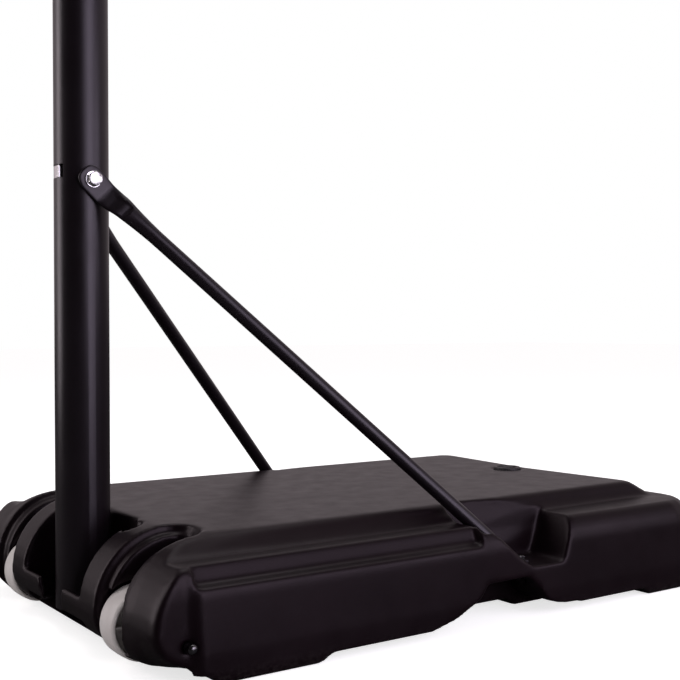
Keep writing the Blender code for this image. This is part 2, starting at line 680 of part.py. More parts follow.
def strut_bolt():
    """One long bolt through both paddles and the pole: hex head on the right, nut on the left."""
    seat = POLE_R + GAP + 2 * PADDLE_HALF_THICK + GAP
    washer = 0.0016
    shank = cylinder("strut_bolt", M10_R, (POLE_X, -seat - washer - 0.004, BOLT_Z),
                     (POLE_X, seat + washer + 0.011, BOLT_Z), PARTS, 24)
    corner_r = NUT_AF / 2 / cos(pi / 6)
    head = turned("strut_bolt_head", [
        (0.0, 0.0080), (0.0050, 0.0078), (NUT_AF / 2, 0.0062), (NUT_AF / 2 + 0.0008, 0.0050),
        (NUT_AF / 2 + 0.0008, 0.0), (0.0, 0.0),
    ], (0, -1, 0), (POLE_X, -seat - washer - GAP, BOLT_Z), CUTTERS, 24)
    hexagon = cylinder("strut_bolt_hex", corner_r, (POLE_X, -seat - washer - 0.010, BOLT_Z),
                       (POLE_X, -seat - washer + 0.001, BOLT_Z), CUTTERS, 6)
    boolean(head, hexagon, "INTERSECT")
    weld_on(shank, head)
    finish(shank, BRIGHT_ZINC)
    for side in (-1, 1):
        name = "left" if side > 0 else "right"
        ring = turned(f"strut_washer_{name}", [
            (0.0105, washer), (0.0105, 0.0), (M10_R + GAP, 0.0), (M10_R + GAP, washer),
        ], (0, side, 0), (POLE_X, side * seat, BOLT_Z), steps=24)
        finish(ring, BRIGHT_ZINC)
    nut_seat = (POLE_X, seat + washer + GAP, BOLT_Z)
    hex_nut("strut_nut", nut_seat, (0, 1, 0), NUT_AF, 0.0085, M10_R + GAP, 20)


def foot_bolt(side):
    """The bolt that holds a strut's foot to the pocket's floor, its nut in the recess below."""
    name = "left" if side > 0 else "right"
    x, y = POLE_X + STRUT_FOOT[0], side * STRUT_FOOT[1]
    top = POCKET_FLOOR_Z + GAP + 0.0044 + GAP
    shank = cylinder(f"foot_bolt_{name}", M8_R, (x, y, RECESS_TOP_Z - 0.010), (x, y, top + 0.002),
                     PARTS, 20)
    head = cylinder(f"foot_bolt_head_{name}", 0.0065 / cos(pi / 6), (x, y, top),
                    (x, y, top + 0.0053), CUTTERS, 6)
    weld_on(shank, head)
    finish(shank, BRIGHT_ZINC)
    hex_nut(f"foot_nut_{name}", (x, y, RECESS_TOP_Z - GAP), (0, 0, -1), 0.013, 0.0065, M8_R + GAP)


def stop_screw():
    """The square stop in the pole's rear window, on which the upper pole comes to rest."""
    made = block("stop_screw", (POLE_X - 0.0336, -STOP_HALF, STOP_LOW_Z),
                 (POLE_X - 0.0240, STOP_HALF, STOP_HIGH_Z), PARTS)
    return finish(made, BRIGHT_ZINC)


# Height adjustment

def pole_collar():
    """A plastic collar on the lower pole's top that guides the upper pole."""
    outer, inner = POLE_R + GAP, UPPER_R + 0.0005
    collar = turned("pole_collar", [
        (0.0375, POLE_TOP_Z + 0.014), (0.0415, POLE_TOP_Z + 0.010), (0.0425, POLE_TOP_Z - 0.030),
        (0.0405, POLE_TOP_Z - 0.034), (outer, POLE_TOP_Z - 0.034), (outer, POLE_TOP_Z + GAP),
        (inner, POLE_TOP_Z + GAP), (inner, POLE_TOP_Z + 0.012), (inner + 0.002, POLE_TOP_Z + 0.014),
    ], (0, 0, 1), (POLE_X, 0, 0), steps=26)
    return finish(collar, CAP_PLASTIC)


def pin_housing():
    """The boss that guides the height pin, its seat curved to the pole."""
    boss = turned("pin_housing", [
        (0.0052, 0.062), (0.0100, 0.062), (0.0120, 0.060), (0.0120, 0.040), (0.0145, 0.036),
        (0.0145, 0.028), (0.0086, 0.028), (0.0086, 0.058), (0.0052, 0.058),
    ], PIN_OUT, (POLE_X, 0, PIN_Z))
    room = cylinder("housing_seat", POLE_R + GAP, (POLE_X, 0, PIN_Z - 0.050),
                    (POLE_X, 0, PIN_Z + 0.050), sides=48)
    cut(boss, room)
    return finish(boss, BLACK_PAINT)


def height_pin():
    """The spring-loaded pin: nose, spring collar and shank, with its pull knob screwed on."""
    nose = UPPER_R + 0.0005
    pin = turned("height_pin", [
        (0.0, 0.084), (PIN_R, 0.084), (PIN_R, 0.0445), (0.0080, 0.0445), (0.0080, 0.0420),
        (PIN_R, 0.0420), (PIN_R, nose + 0.0012), (PIN_R - 0.0012, nose), (0.0, nose),
    ], PIN_OUT, (POLE_X, 0, PIN_Z), steps=20)
    finish(pin, BRIGHT_ZINC)
    knob = turned("pin_knob", [
        (0.0, 0.0960), (0.0090, 0.0945), (0.0150, 0.0900), (0.0170, 0.0830), (0.0140, 0.0770),
        (0.0085, 0.0735), (0.0080, 0.0640), (PIN_R + GAP, 0.0640), (PIN_R + GAP, 0.0843),
        (0.0, 0.0843),
    ], PIN_OUT, (POLE_X, 0, PIN_Z))
    return finish(knob, CAP_PLASTIC)


def pin_spring():
    """The coil spring between the pin's collar and the housing's end wall."""
    start, end, turns, per_turn = 0.0452, 0.0572, 5, 8
    points = []
    for i in range(turns * per_turn + 1):
        angle = 2 * pi * i / per_turn
        out = start + (end - start) * i / (turns * per_turn)
        across = Vector((POLE_X + 0.0067 * cos(angle), 0, PIN_Z + 0.0067 * sin(angle)))
        points.append(across + PIN_OUT * out)
    gap = (end - start) / turns - 2 * 0.0005
    print("pin spring: least gap between turns", round(gap * 1000, 2), "mm")
    return finish(rod("pin_spring", points, 0.0005, sides=0), DARK_ZINC)


def upper_pole():
    """The sliding tube, with one hole for the pin at each height setting."""
    pole = tube("upper_pole", UPPER_R, UPPER_WALL, UPPER_BOTTOM_Z, UPPER_TOP_Z, BLACK_PAINT)
    for i in range(6):
        cut(pole, pin_hole(f"height_hole_{i}", PIN_Z - i * HOLE_PITCH))
    return pole


def pole_cap():
    cap = turned("pole_cap", [
        (0.0, 0.0120), (0.0200, 0.0105), (0.0300, 0.0060), (0.0325, 0.0),
        (0.0290, 0.0), (0.0290, -0.020), (0.0265, -0.020), (0.0265, 0.002), (0.0, 0.002),
    ], (0, 0, 1), (POLE_X, 0, UPPER_TOP_Z + GAP))
    return finish(cap, CAP_PLASTIC)


# Board and its frame

def saddle(index, z):
    """A bent bracket: a flat face for the board's rail and two cheeks beside the pole."""
    inner, outer, flat = UPPER_R + 0.0008, UPPER_R + 0.0048, 0.085
    front, back = SADDLE_X, SADDLE_X - 0.004
    outline = [
        (front, -flat), (front, flat), (back, flat), (back, outer), (-0.005, outer),
        (-0.005, inner), (back - 0.004, inner), (back - 0.004, -inner), (-0.005, -inner),
        (-0.005, -outer), (back, -outer), (back, -flat),
    ]
    half = 0.024
    made = outline_plate(f"saddle_{index}", [from_pole(outline)], "XY", z - half, z + half, PARTS)
    for side in (-1, 1):
        ends = [(POLE_X + x, side * 0.0425, z) for x in (0.060, 0.090)]
        cut(made, cylinder(f"saddle_hole_{index}_{side}", 0.0045, *ends, sides=16))
    return finish(made, BLACK_PAINT)


def u_bolt(index, z):
    """A bent rod round the back of the pole, its two legs through the bracket and the rail."""
    reach = 0.0425
    legs = SADDLE_X + GAP + 0.0025 + 0.009
    bend = [(x, y) for x, y in arc((0.0, 0.0), reach, 90, 270, 14)]
    route = [(legs, reach), (0.02, reach), *bend, (0.02, -reach), (legs, -reach)]
    made = rod(f"u_bolt_{index}", [(x + POLE_X, y, z) for x, y in route], M8_R, sides=2)
    finish(made, BRIGHT_ZINC)
    for side in (-1, 1):
        name = "left" if side > 0 else "right"
        seat = (POLE_X + SADDLE_X + 2 * GAP + 0.0025, side * reach, z)
        hex_nut(f"u_bolt_nut_{index}_{name}", seat, (1, 0, 0), 0.013, 0.0065, M8_R + GAP)


def board_outline(inset, radius):
    half_y, half_z = BOARD_WIDTH / 2 - inset, BOARD_HEIGHT / 2 - inset
    corners = [(-half_y, -half_z, radius), (half_y, -half_z, radius), (half_y, half_z, radius),
               (-half_y, half_z, radius)]
    return [(y, z + BOARD_MID_Z) for y, z in rounded(corners, 4)]


def board_frame():
    """The steel frame behind the panel: a closed border bar with rounded corners."""
    rear = POLE_X + SADDLE_X + GAP
    border = [board_outline(0.0, 0.030), board_outline(FRAME_BAR, 0.010)]
    made = outline_plate("board_frame", border, "YZ", rear, rear + FRAME_DEPTH, PARTS)
    return finish(made, BLACK_PAINT)


def board_rail(index, z):
    """A channel across the frame, open towards the panel, that the brackets bolt to."""
    half_y = BOARD_WIDTH / 2 - FRAME_BAR - GAP
    rear, front, web, lip = SADDLE_X + GAP, SADDLE_X + GAP + FRAME_DEPTH, 0.0025, RAIL_HEIGHT / 2
    outline = [(rear, z - lip), (front, z - lip), (front, z - lip + web), (rear + web, z - lip + web),
               (rear + web, z + lip - web), (front, z + lip - web), (front, z + lip), (rear, z + lip)]
    made = outline_plate(f"board_rail_{index}", [from_pole(outline)], "XZ", -half_y, half_y, PARTS)
    for side in (-1, 1):
        ends = [(POLE_X + x, side * 0.0425, z) for x in (0.060, 0.090)]
        cut(made, cylinder(f"rail_hole_{index}_{side}", 0.0045, *ends, sides=16))
    return finish(made, BLACK_PAINT)


def rim_post():
    """The upright behind the rim that carries the rim's bolts between the panel and the rail."""
    half, top, low = 0.065, SADDLE_Z[0] - RAIL_HEIGHT / 2 - GAP, BOARD_BOTTOM_Z + FRAME_BAR + GAP
    rear = SADDLE_X + GAP
    block_low = (POLE_X + rear, -half, low)
    made = block("rim_post", block_low, (POLE_X + rear + FRAME_DEPTH, half, top), PARTS)
    hollow = block("rim_post_hollow", (POLE_X + rear - 0.001, -half + 0.003, low + 0.003),
                   (POLE_X + rear + FRAME_DEPTH - 0.003, half - 0.003, top - 0.003))
    cut(made, hollow)
    for y, z in rim_bolt_places():
        ends = [(POLE_X + x, y, z) for x in (0.080, 0.130)]
        cut(made, cylinder(f"post_hole_{y}_{z}", M8_R + GAP, *ends, sides=16))
    return finish(made, BLACK_PAINT)


def rim_bolt_places():
    return [(side * RIM_BOLTS_Y, z) for side in (-1, 1) for z in RIM_BOLTS_Z]


def board_panel():
    rear = POLE_X + PANEL_X
    outline = board_outline(0.002, 0.028)
    made = outline_plate("board_panel", [outline], "YZ", rear, rear + PANEL_THICK, PARTS)
    for y, z in rim_bolt_places():
        ends = [(POLE_X + x, y, z) for x in (0.080, 0.130)]
        cut(made, cylinder(f"panel_hole_{y}_{z}", M8_R + GAP, *ends, sides=16))
    return finish(made, CLEAR_PANEL)


# Rim and net

def rim():
    """Ring, seat plate, bridge and two braces welded into one piece, with twelve net hooks."""
    face = POLE_X + PANEL_FRONT + GAP
    plate = [(-0.066, RIM_Z - 0.110), (0.066, RIM_Z - 0.110), (0.066, RIM_Z - 0.004),
             (-0.066, RIM_Z - 0.004)]
    outline = rounded([(y, z, 0.010 if z < RIM_Z - 0.05 else 0) for y, z in plate], 4)
    made = outline_plate("rim", [outline], "YZ", face, face + 0.005, PARTS)
    ring_x = POLE_X + RIM_X
    near = ring_x - RIM_INNER_R - RIM_ROD_R
    bridge = [(face + 0.001, -0.060), (near - 0.030, -0.060), (near + 0.012, -0.086),
              (near + 0.012, 0.086), (near - 0.030, 0.060), (face + 0.001, 0.060)]
    weld_on(made, outline_plate("rim_bridge", [bridge], "XY", RIM_Z - 0.0125, RIM_Z - 0.0075))
    bpy.ops.mesh.primitive_torus_add(
        major_radius=RIM_INNER_R + RIM_ROD_R, minor_radius=RIM_ROD_R, major_segments=48,
        minor_segments=8, location=(ring_x, 0, RIM_CENTRE_Z),
    )
    ring = bpy.context.object
    ring.name = "rim_ring"
    for group in list(ring.users_collection):
        group.objects.unlink(ring)
    place(ring, CUTTERS)
    weld_on(made, ring)
    reach = RIM_INNER_R + RIM_ROD_R
    for side in (-1, 1):
        angle = pi - side * 0.95
        grip = (ring_x + reach * cos(angle), reach * sin(angle), RIM_CENTRE_Z - 0.003)
        route = [(face + 0.0046, side * 0.030, RIM_Z - 0.100), (face + 0.030, side * 0.050, RIM_Z - 0.088),
                 grip]
        weld_on(made, rod(f"rim_brace_{side}", route, 0.006, CUTTERS, 1))
    for i in range(HOOKS):
        weld_on(made, net_hook(i))
    for y, z in rim_bolt_places():
        ends = [(x, y, z) for x in (face - 0.010, face + 0.012)]
        cut(made, cylinder(f"plate_hole_{y}_{z}", M8_R + GAP, *ends, sides=16))
    return finish(made, ORANGE_PAINT)


def hook_angle(index):
    return 2 * pi * (index + 0.5) / HOOKS


def net_hook(index):
    """A small wire loop welded under the ring, square to it."""
    angle, reach = hook_angle(index), RIM_INNER_R + RIM_ROD_R
    along = Vector((-sin(angle), cos(angle), 0))
    middle = Vector((POLE_X + RIM_X + reach * cos(angle), reach * sin(angle), RIM_CENTRE_Z))
    points = []
    for u, v in arc((0.0, -RIM_ROD_R), 0.0085, 195, 345, 4):
        points.append(middle + along * u + Vector((0, 0, v + 0.002)))
    points = [points[0] + Vector((0, 0, 0.005)), *points, points[-1] + Vector((0, 0, 0.005))]
    return rod(f"net_hook_{index}", points, 0.0022, CUTTERS, 0)


def rim_bolts():
    for n, (y, z) in enumerate(rim_bolt_places()):
        start = POLE_X + PANEL_FRONT + 2 * GAP + 0.005
        shank = cylinder(f"rim_bolt_{n}", M8_R, (POLE_X + PANEL_X - 0.012, y, z),
                         (start + 0.003, y, z), PARTS, 16)
        head = cylinder(f"rim_bolt_head_{n}", 0.0065 / cos(pi / 6), (start, y, z),
                        (start + 0.0053, y, z), CUTTERS, 6)
        weld_on(shank, head)
        finish(shank, BRIGHT_ZINC)


def net_radius(share):
    """The net's radius at a share of its depth: it narrows fast below the ring, then slowly."""
    return 0.2290 - 0.100 * share ** 0.8 - 0.012 * sin(pi * share)


def net_column(index):
    """One of the net's twelve columns: four diamond meshes of cord below one hook.

    Each mesh is a face with a short knot edge above and below; the lattice is left of it.
    """
    meshes, cord, knot, clear = 4, 0.0046, 0.0022, 0.0034
    top_z = RIM_CENTRE_Z - RIM_ROD_R - 0.0125
    shape = bmesh.new()

    def corner(share, turn, shift):
        angle, radius = hook_angle(index) + turn * pi / HOOKS, net_radius(share)
        x = radius * cos(angle) - shift * sin(angle)
        y = radius * sin(angle) + shift * cos(angle)
        return shape.verts.new((POLE_X + RIM_X + x, y, top_z - NET_DEPTH * share))

    knots = [(corner(n / meshes, 0, -knot), corner(n / meshes, 0, knot)) for n in range(meshes + 1)]
    for n in range(meshes):
        share = (n + 0.5) / meshes
        right, left = corner(share, -1, clear), corner(share, 1, -clear)
        upper, lower = knots[n], knots[n + 1]
        shape.faces.new((upper[0], right, lower[0], lower[1], left, upper[1]))
    made = mesh_object(f"net_{index}", shape)
    lattice = made.modifiers.new("cord", "WIREFRAME")
    lattice.thickness = cord
    lattice.use_even_offset = False
    lattice.use_boundary = True
    lattice.use_replace = True
    return finish(made, WHITE_CORD)


def build():
    base()
    filler_cap()
    axle()
    for side in (-1, 1):
        wheel(side)
        axle_cap(side)
        strut(side)
        foot_bolt(side)
    lower_pole()
    strut_bolt()
    stop_screw()
    pole_collar()
    pin_housing()
    height_pin()
    pin_spring()
    upper_pole()
    pole_cap()
    for index, z in zip(("lower", "upper"), SADDLE_Z):
        saddle(index, z)
        u_bolt(index, z)
        board_rail(index, z)
    board_frame()
    rim_post()
    board_panel()
    rim()
    rim_bolts()
    for index in range(HOOKS):
        net_column(index)


build()
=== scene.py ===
# %% [markdown]
# # A portable basketball stand
#
# The stand is a moulded ballast tank on two wheels, a round black pole held by two braces, and
# a board with its rim and net on a second pole that slides in the first. The imported model gives
# every piece its place. The cells below dress it: they rebuild the pieces whose form shows, and
# they give every surface a finish.
#
# The first cell loads the fixed frame. Nothing may grow past it. Two small helpers read a node's
# corners and its middle, so a piece takes its place from the frame.

from collections import namedtuple
from math import pi

import bmesh
import bpy
import numpy as np
from mathutils import Matrix, Vector


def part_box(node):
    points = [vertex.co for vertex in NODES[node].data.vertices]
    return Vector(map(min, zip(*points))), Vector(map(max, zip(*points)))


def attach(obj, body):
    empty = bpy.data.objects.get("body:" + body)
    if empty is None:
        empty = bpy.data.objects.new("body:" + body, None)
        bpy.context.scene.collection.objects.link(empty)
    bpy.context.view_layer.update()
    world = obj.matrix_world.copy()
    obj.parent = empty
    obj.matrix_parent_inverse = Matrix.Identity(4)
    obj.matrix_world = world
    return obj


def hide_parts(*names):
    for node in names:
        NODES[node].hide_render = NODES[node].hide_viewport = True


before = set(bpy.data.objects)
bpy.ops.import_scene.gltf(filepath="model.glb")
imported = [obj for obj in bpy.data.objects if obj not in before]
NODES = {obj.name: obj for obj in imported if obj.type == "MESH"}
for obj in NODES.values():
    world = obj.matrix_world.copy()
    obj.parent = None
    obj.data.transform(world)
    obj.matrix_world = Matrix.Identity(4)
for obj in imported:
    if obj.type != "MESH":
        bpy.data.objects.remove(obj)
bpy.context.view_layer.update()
SIDES = ((-1, "right"), (1, "left"))


def box(node):
    """A node's lowest and highest corner at rest, as arrays."""
    low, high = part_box(node)
    return np.array(low), np.array(high)


def middle(node):
    """The point halfway between a node's lowest and highest corner."""
    low, high = box(node)
    return (low + high) / 2


# %% [markdown]
# ## The camera
#
# The photograph shows the lower part of the stand from behind and to the right, from 0.39 m
# above the floor. One way to find such a camera is to try views by eye. It is steadier to fit it
# to straight edges whose places are known, which gives the eye, the three turns and the lens used
# here. The image is square, so one lens serves both directions.

# %% Set the camera
POLE_X = -0.422
EYE = Vector((POLE_X - 0.5364, -1.3650, 0.3900))
YAW, PITCH, ROLL = np.radians((34.69, -0.61, 0.15))
FOCAL_LENGTH, SENSOR = 58.05, 36.0

forward = Vector((np.sin(YAW) * np.cos(PITCH), np.cos(YAW) * np.cos(PITCH), np.sin(PITCH)))
level_right = Vector((np.cos(YAW), -np.sin(YAW), 0.0))
down = forward.cross(level_right)
right = level_right * float(np.cos(ROLL)) + down * float(np.sin(ROLL))

lens = bpy.data.cameras.new("camera")
lens.sensor_width, lens.lens = SENSOR, FOCAL_LENGTH
lens.clip_start, lens.clip_end = 0.05, 60.0
camera = bpy.data.objects.new("camera", lens)
camera.matrix_world = Matrix((right, right.cross(forward), -forward)).transposed().to_4x4()
camera.matrix_world.translation = EYE
scene = bpy.context.scene
scene.collection.objects.link(camera)
scene.camera = camera
print("camera looks along", [round(v, 3) for v in forward])

# %% [markdown]
# ## Helpers for nodes
#
# The surroundings, the floor and every finish are trees of nodes. Adding nodes one by one takes
# many lines that say the same, so each helper adds one node, sets its numbers and gives back the
# socket to go on from. A plain number or colour may stand wherever a socket may.

# %% Add one node at a time
def feed(tree, value, socket):
    """Gives a socket its value: another socket by a link, or a plain number or colour."""
    if isinstance(value, bpy.types.NodeSocket):
        tree.links.new(value, socket)
    else:
        socket.default_value = (*value, 1.0) if isinstance(value, tuple) else value


def maths(tree, operation, *operands):
    """One sum on numbers, such as MAXIMUM or MULTIPLY."""
    made = tree.nodes.new("ShaderNodeMath")
    made.operation = operation
    for socket, value in zip(made.inputs, operands):
        feed(tree, value, socket)
    return made.outputs[0]


def remap(tree, value, low, high, from_low=0.3, from_high=0.7):
    """Stretches a value from one range to another and stops at its ends."""
    made = tree.nodes.new("ShaderNodeMapRange")
    settings = {"Value": value, "From Min": from_low, "From Max": from_high, "To Min": low, "To Max": high}
    for name, number in settings.items():
        feed(tree, number, made.inputs[name])
    return made.outputs["Result"]


def mix_colour(tree, share, first, second):
    """A colour between two, by a share from 0 to 1; the node's sockets 6 and 7 take the colours."""
    made = tree.nodes.new("ShaderNodeMix")
    made.data_type = "RGBA"
    settings = {"Factor": share, 6: first, 7: second}
    for name, value in settings.items():
        feed(tree, value, made.inputs[name])
    return made.outputs[2]


def noise(tree, place, scale, detail=3.0, roughness=0.55):
    """A noise texture of so many waves per metre."""
    made = tree.nodes.new("ShaderNodeTexNoise")
    settings = {"Vector": place, "Scale": scale, "Detail": detail, "Roughness": roughness}
    for name, value in settings.items():
        feed(tree, value, made.inputs[name])
    return made.outputs["Fac"]


print("node helpers:", ", ".join(f.__name__ for f in (maths, remap, mix_colour, noise)))

# %% [markdown]
# ## Light
#
# Black plastic shows almost no colour of its own. What the eye reads on it is what it mirrors, so
# the lamps are large soft panels. Small hard lamps would leave sharp white spots instead. One
# panel stands behind on the left and draws the grey line down the pole. One stands in front on
# the right, with a brighter core, and lights the bolt heads and the braces. A low one on the
# right lights the pocket's wall, and one hangs above the deck.

# %% Hang the panels
scene.view_settings.view_transform = "Standard"
WHITE, ROSE, VIOLET = (1.0, 1.0, 1.0), (1.0, 0.92, 0.94), (0.93, 0.84, 1.0)
PANELS = {  # place, aim, width, height, watts and tint
    "panel_rear_left": ((-2.15, 1.30, 1.05), (POLE_X, 0.0, 0.9), 0.85, 2.6, 27.0, ROSE),
    "panel_front_right": ((0.32, -2.80, 1.25), (POLE_X, 0.0, 0.6), 2.5, 3.2, 48.0, VIOLET),
    "panel_low_right": ((1.80, -2.10, 0.85), (0.10, -0.25, 0.12), 1.1, 0.9, 9.0, VIOLET),
    "panel_front_core": ((0.25, -2.70, 0.80), (POLE_X, 0.0, 0.6), 0.9, 2.0, 13.0, VIOLET),
    "panel_above": ((0.40, 0.55, 3.6), (0.10, 0.05, 0.3), 2.4, 2.4, 30.0, WHITE),
}
for name, (place, aim, width, height, watts, tint) in PANELS.items():
    lamp = bpy.data.lights.new(name, "AREA")
    lamp.shape = "RECTANGLE"
    lamp.size, lamp.size_y, lamp.energy, lamp.color = width, height, watts, tint
    panel = bpy.data.objects.new(name, lamp)
    panel.location = place
    panel.rotation_euler = (Vector(aim) - Vector(place)).to_track_quat("-Z", "Y").to_euler()
    scene.collection.objects.link(panel)
print("lamps:", list(PANELS))

# %% [markdown]
# ## Surroundings
#
# The camera should see plain white all round. What the plastic mirrors is another matter: a pale,
# faintly pink backdrop behind the stand and a dim room on the camera's side. White on every side
# would turn the black parts grey. The Light Path node tells the kinds of ray apart, so each kind
# meets surroundings of its own, and everything else gets a plain soft fill.

# %% Surround the stand
BACKDROP, ROOM, FILL = 0.52, 0.03, 0.34
MIRRORED_TINT, FILL_TINT = (1.0, 0.87, 0.91), (1.0, 0.95, 0.96)


def kinds_of_ray(tree):
    """Two sockets: 1 for a ray from the camera or through glass, and 1 for a mirrored ray."""
    path = tree.nodes.new("ShaderNodeLightPath").outputs
    straight = maths(tree, "MAXIMUM", path["Is Camera Ray"], path["Is Transmission Ray"])
    return straight, path["Is Glossy Ray"]


world = bpy.data.worlds.new("studio")
world.use_nodes = True
scene.world = world
sky = world.node_tree
straight, glossy = kinds_of_ray(sky)

toward = sky.nodes.new("ShaderNodeVectorMath")
toward.operation = "DOT_PRODUCT"
toward.inputs[1].default_value = (forward.x, forward.y, 0.0)
feed(sky, sky.nodes.new("ShaderNodeTexCoord").outputs["Generated"], toward.inputs[0])
behind = remap(sky, toward.outputs["Value"], ROOM, BACKDROP, -0.25, 0.35)

fill, seen = sky.nodes["Background"], sky.nodes.new("ShaderNodeBackground")
feed(sky, FILL_TINT, fill.inputs["Color"])
feed(sky, FILL, fill.inputs["Strength"])
feed(sky, mix_colour(sky, straight, MIRRORED_TINT, WHITE), seen.inputs["Color"])
mirrored = maths(sky, "MULTIPLY", glossy, behind)
feed(sky, maths(sky, "MAXIMUM", straight, mirrored), seen.inputs["Strength"])

pick = sky.nodes.new("ShaderNodeMixShader")
kind = maths(sky, "MAXIMUM", straight, glossy)
for socket, value in zip(pick.inputs, (kind, fill.outputs[0], seen.outputs[0])):
    feed(sky, value, socket)
feed(sky, pick.outputs[0], sky.nodes["World Output"].inputs["Surface"])
print("surroundings:", len(sky.nodes), "nodes")

# %% [markdown]
# The floor is a wide pale plane. It glows for the camera alone, so that it meets the white behind
# it with no line, and it keeps the stand's shadow because the glow is less than full. Mirrored
# rays find it dark, or the base's walls would show a bright strip along the foot.

# %% Lay the floor
FLOOR_GLOW, FLOOR_TONE, MIRRORED_LOSS = 0.72, 0.82, 0.74
FLOOR_SIZE, FLOOR_Z = 40.0, -0.0004
floor_paint = bpy.data.materials.new("pale_floor")
floor_paint.use_nodes = True
tree = floor_paint.node_tree
matt = tree.nodes["Principled BSDF"].inputs
straight, glossy = kinds_of_ray(tree)
feed(tree, 0.9, matt["Roughness"])
feed(tree, 0.1, matt["Specular IOR Level"])
feed(tree, WHITE, matt["Emission Color"])
feed(tree, maths(tree, "MULTIPLY", straight, FLOOR_GLOW), matt["Emission Strength"])
loss = maths(tree, "MULTIPLY", glossy, MIRRORED_LOSS)
feed(tree, maths(tree, "SUBTRACT", FLOOR_TONE, loss), matt["Base Color"])

bpy.ops.mesh.primitive_plane_add(size=FLOOR_SIZE, location=(0.0, 0.0, FLOOR_Z))
floor = bpy.context.object
floor.name = "floor"
floor.data.materials.append(floor_paint)
print("floor:", FLOOR_SIZE, "m wide")

# %% [markdown]
# ## Surfaces from arrays
#
# Nearly every piece here is a profile carried round an axis or along a line. That is a grid of
# points with two parameters, and numpy works it out in one go. One helper joins neighbouring grid
# points by faces. Another rounds the corners of a profile, because real edges are never quite
# sharp, and a bevel on the finished mesh would not know which edges the maker rounded.

# %% Grids and rounded corners
NO_LENGTH, SAME_POINT = 1e-12, 1e-7


def grid_faces(rows, columns):
    """Joins each point (i, j) to its neighbours (i + 1, j) and (i, j + 1); j goes all the way round."""
    i, j = np.meshgrid(np.arange(rows - 1), np.arange(columns), indexing="ij")
    k = (j + 1) % columns
    quads = (i * columns + j, i * columns + k, (i + 1) * columns + k, (i + 1) * columns + j)
    return np.stack(quads, -1).reshape(-1, 4)


def skin(points, capped=True):
    """Points of shape (rows, columns, 3) as (vertices, faces); the first and last row are capped."""
    rows, columns, _ = points.shape
    faces = grid_faces(rows, columns).tolist()
    if capped:
        faces.append(list(range(columns))[::-1])
        faces.append(list(range((rows - 1) * columns, rows * columns)))
    return points.reshape(-1, 3), faces


def rounded(points, radii, steps=4, loop=False):
    """Replaces each corner P by the curve (1-s)^2 A + 2 s (1-s) P + s^2 B.

    A and B lie on the corner's two sides, one radius away from P or half the side if it is short.
    """
    points = np.asarray(points, float)
    radii = np.broadcast_to(np.asarray(radii, float), len(points)).copy()
    before, after = np.roll(points, 1, 0), np.roll(points, -1, 0)
    if not loop:
        before[0], after[-1] = points[0], points[-1]
        radii[0] = radii[-1] = 0.0
    to_before, to_after = before - points, after - points
    length_a = np.linalg.norm(to_before, axis=1) + NO_LENGTH
    length_b = np.linalg.norm(to_after, axis=1) + NO_LENGTH
    reach = np.minimum(radii, 0.499 * np.minimum(length_a, length_b))
    a = points + to_before * (reach / length_a)[:, None]
    b = points + to_after * (reach / length_b)[:, None]
    s = np.linspace(0.0, 1.0, steps)[None, :, None]
    curve = (1 - s) ** 2 * a[:, None] + 2 * s * (1 - s) * points[:, None] + s ** 2 * b[:, None]
    curve = curve.reshape(-1, points.shape[1])
    apart = np.linalg.norm(curve - np.roll(curve, 1, 0), axis=1) > SAME_POINT
    return curve[apart]


def rectangle(low, high):
    """The four corners of a rectangle, from its lowest and highest."""
    return [(low[0], low[1]), (high[0], low[1]), (high[0], high[1]), (low[0], high[1])]


print("a rounded square has", len(rounded(rectangle((0, 0), (1, 1)), 0.1, 4, loop=True)), "points")

# %% [markdown]
# Three shapes carry a profile: turned about an axis, as on a lathe; a tube along a path; and a
# plate, an outline pushed straight through with its rims drawn in. Each is one formula on arrays,
# which is quicker than a modifier and leaves even rows of faces.

# %% Turned, drawn and pressed surfaces
def around(count):
    """Angles in equal steps once round."""
    return np.linspace(0.0, 2 * pi, count, endpoint=False)


def spokes(angles, u, v):
    """The directions cos a U + sin a V."""
    return np.cos(angles)[..., None] * u + np.sin(angles)[..., None] * v


def basis(axis):
    """Two unit directions square to an axis and to each other, and the axis itself."""
    axis = np.asarray(axis, float) / np.linalg.norm(axis)
    helper = np.array((0.0, 0.0, 1.0)) if abs(axis[2]) < 0.9 else np.array((1.0, 0.0, 0.0))
    u = np.cross(helper, axis)
    u /= np.linalg.norm(u)
    return u, np.cross(axis, u), axis


def turned(profile, centre, axis, columns=64, corner=0.0, steps=4, loop=False, flutes=(0, 0.0, 0.0)):
    """Revolves (radius, height) pairs: C + r (cos a U + sin a V) + h W for a from 0 to 2 pi.

    A loop is a closed profile, for a ring. Flutes (count, depth, from) draw each radius past
    from in by depth (1 - cos(count a)) / 2.
    """
    profile = rounded(profile, corner, steps, loop) if corner else np.asarray(profile, float)
    if loop:
        profile = np.concatenate((profile, profile[:1]))
    u, v, w = basis(axis)
    a = around(columns)
    count, depth, first = flutes
    wave = depth * (1 - np.cos(count * a)) / 2 * (profile[:, :1] > first)
    radius, height = (profile[:, :1] - wave)[..., None], profile[:, 1, None, None]
    return skin(np.asarray(centre, float) + radius * spokes(a, u, v) + height * w, capped=False)


def tube_frame(path, up):
    """For each point of a path: two directions square to its run, the first square to up as well."""
    run = np.gradient(path, axis=0)
    run /= np.linalg.norm(run, axis=1)[:, None]
    side = np.cross(run, np.asarray(up, float))
    side /= np.linalg.norm(side, axis=1)[:, None]
    return side, np.cross(side, run)


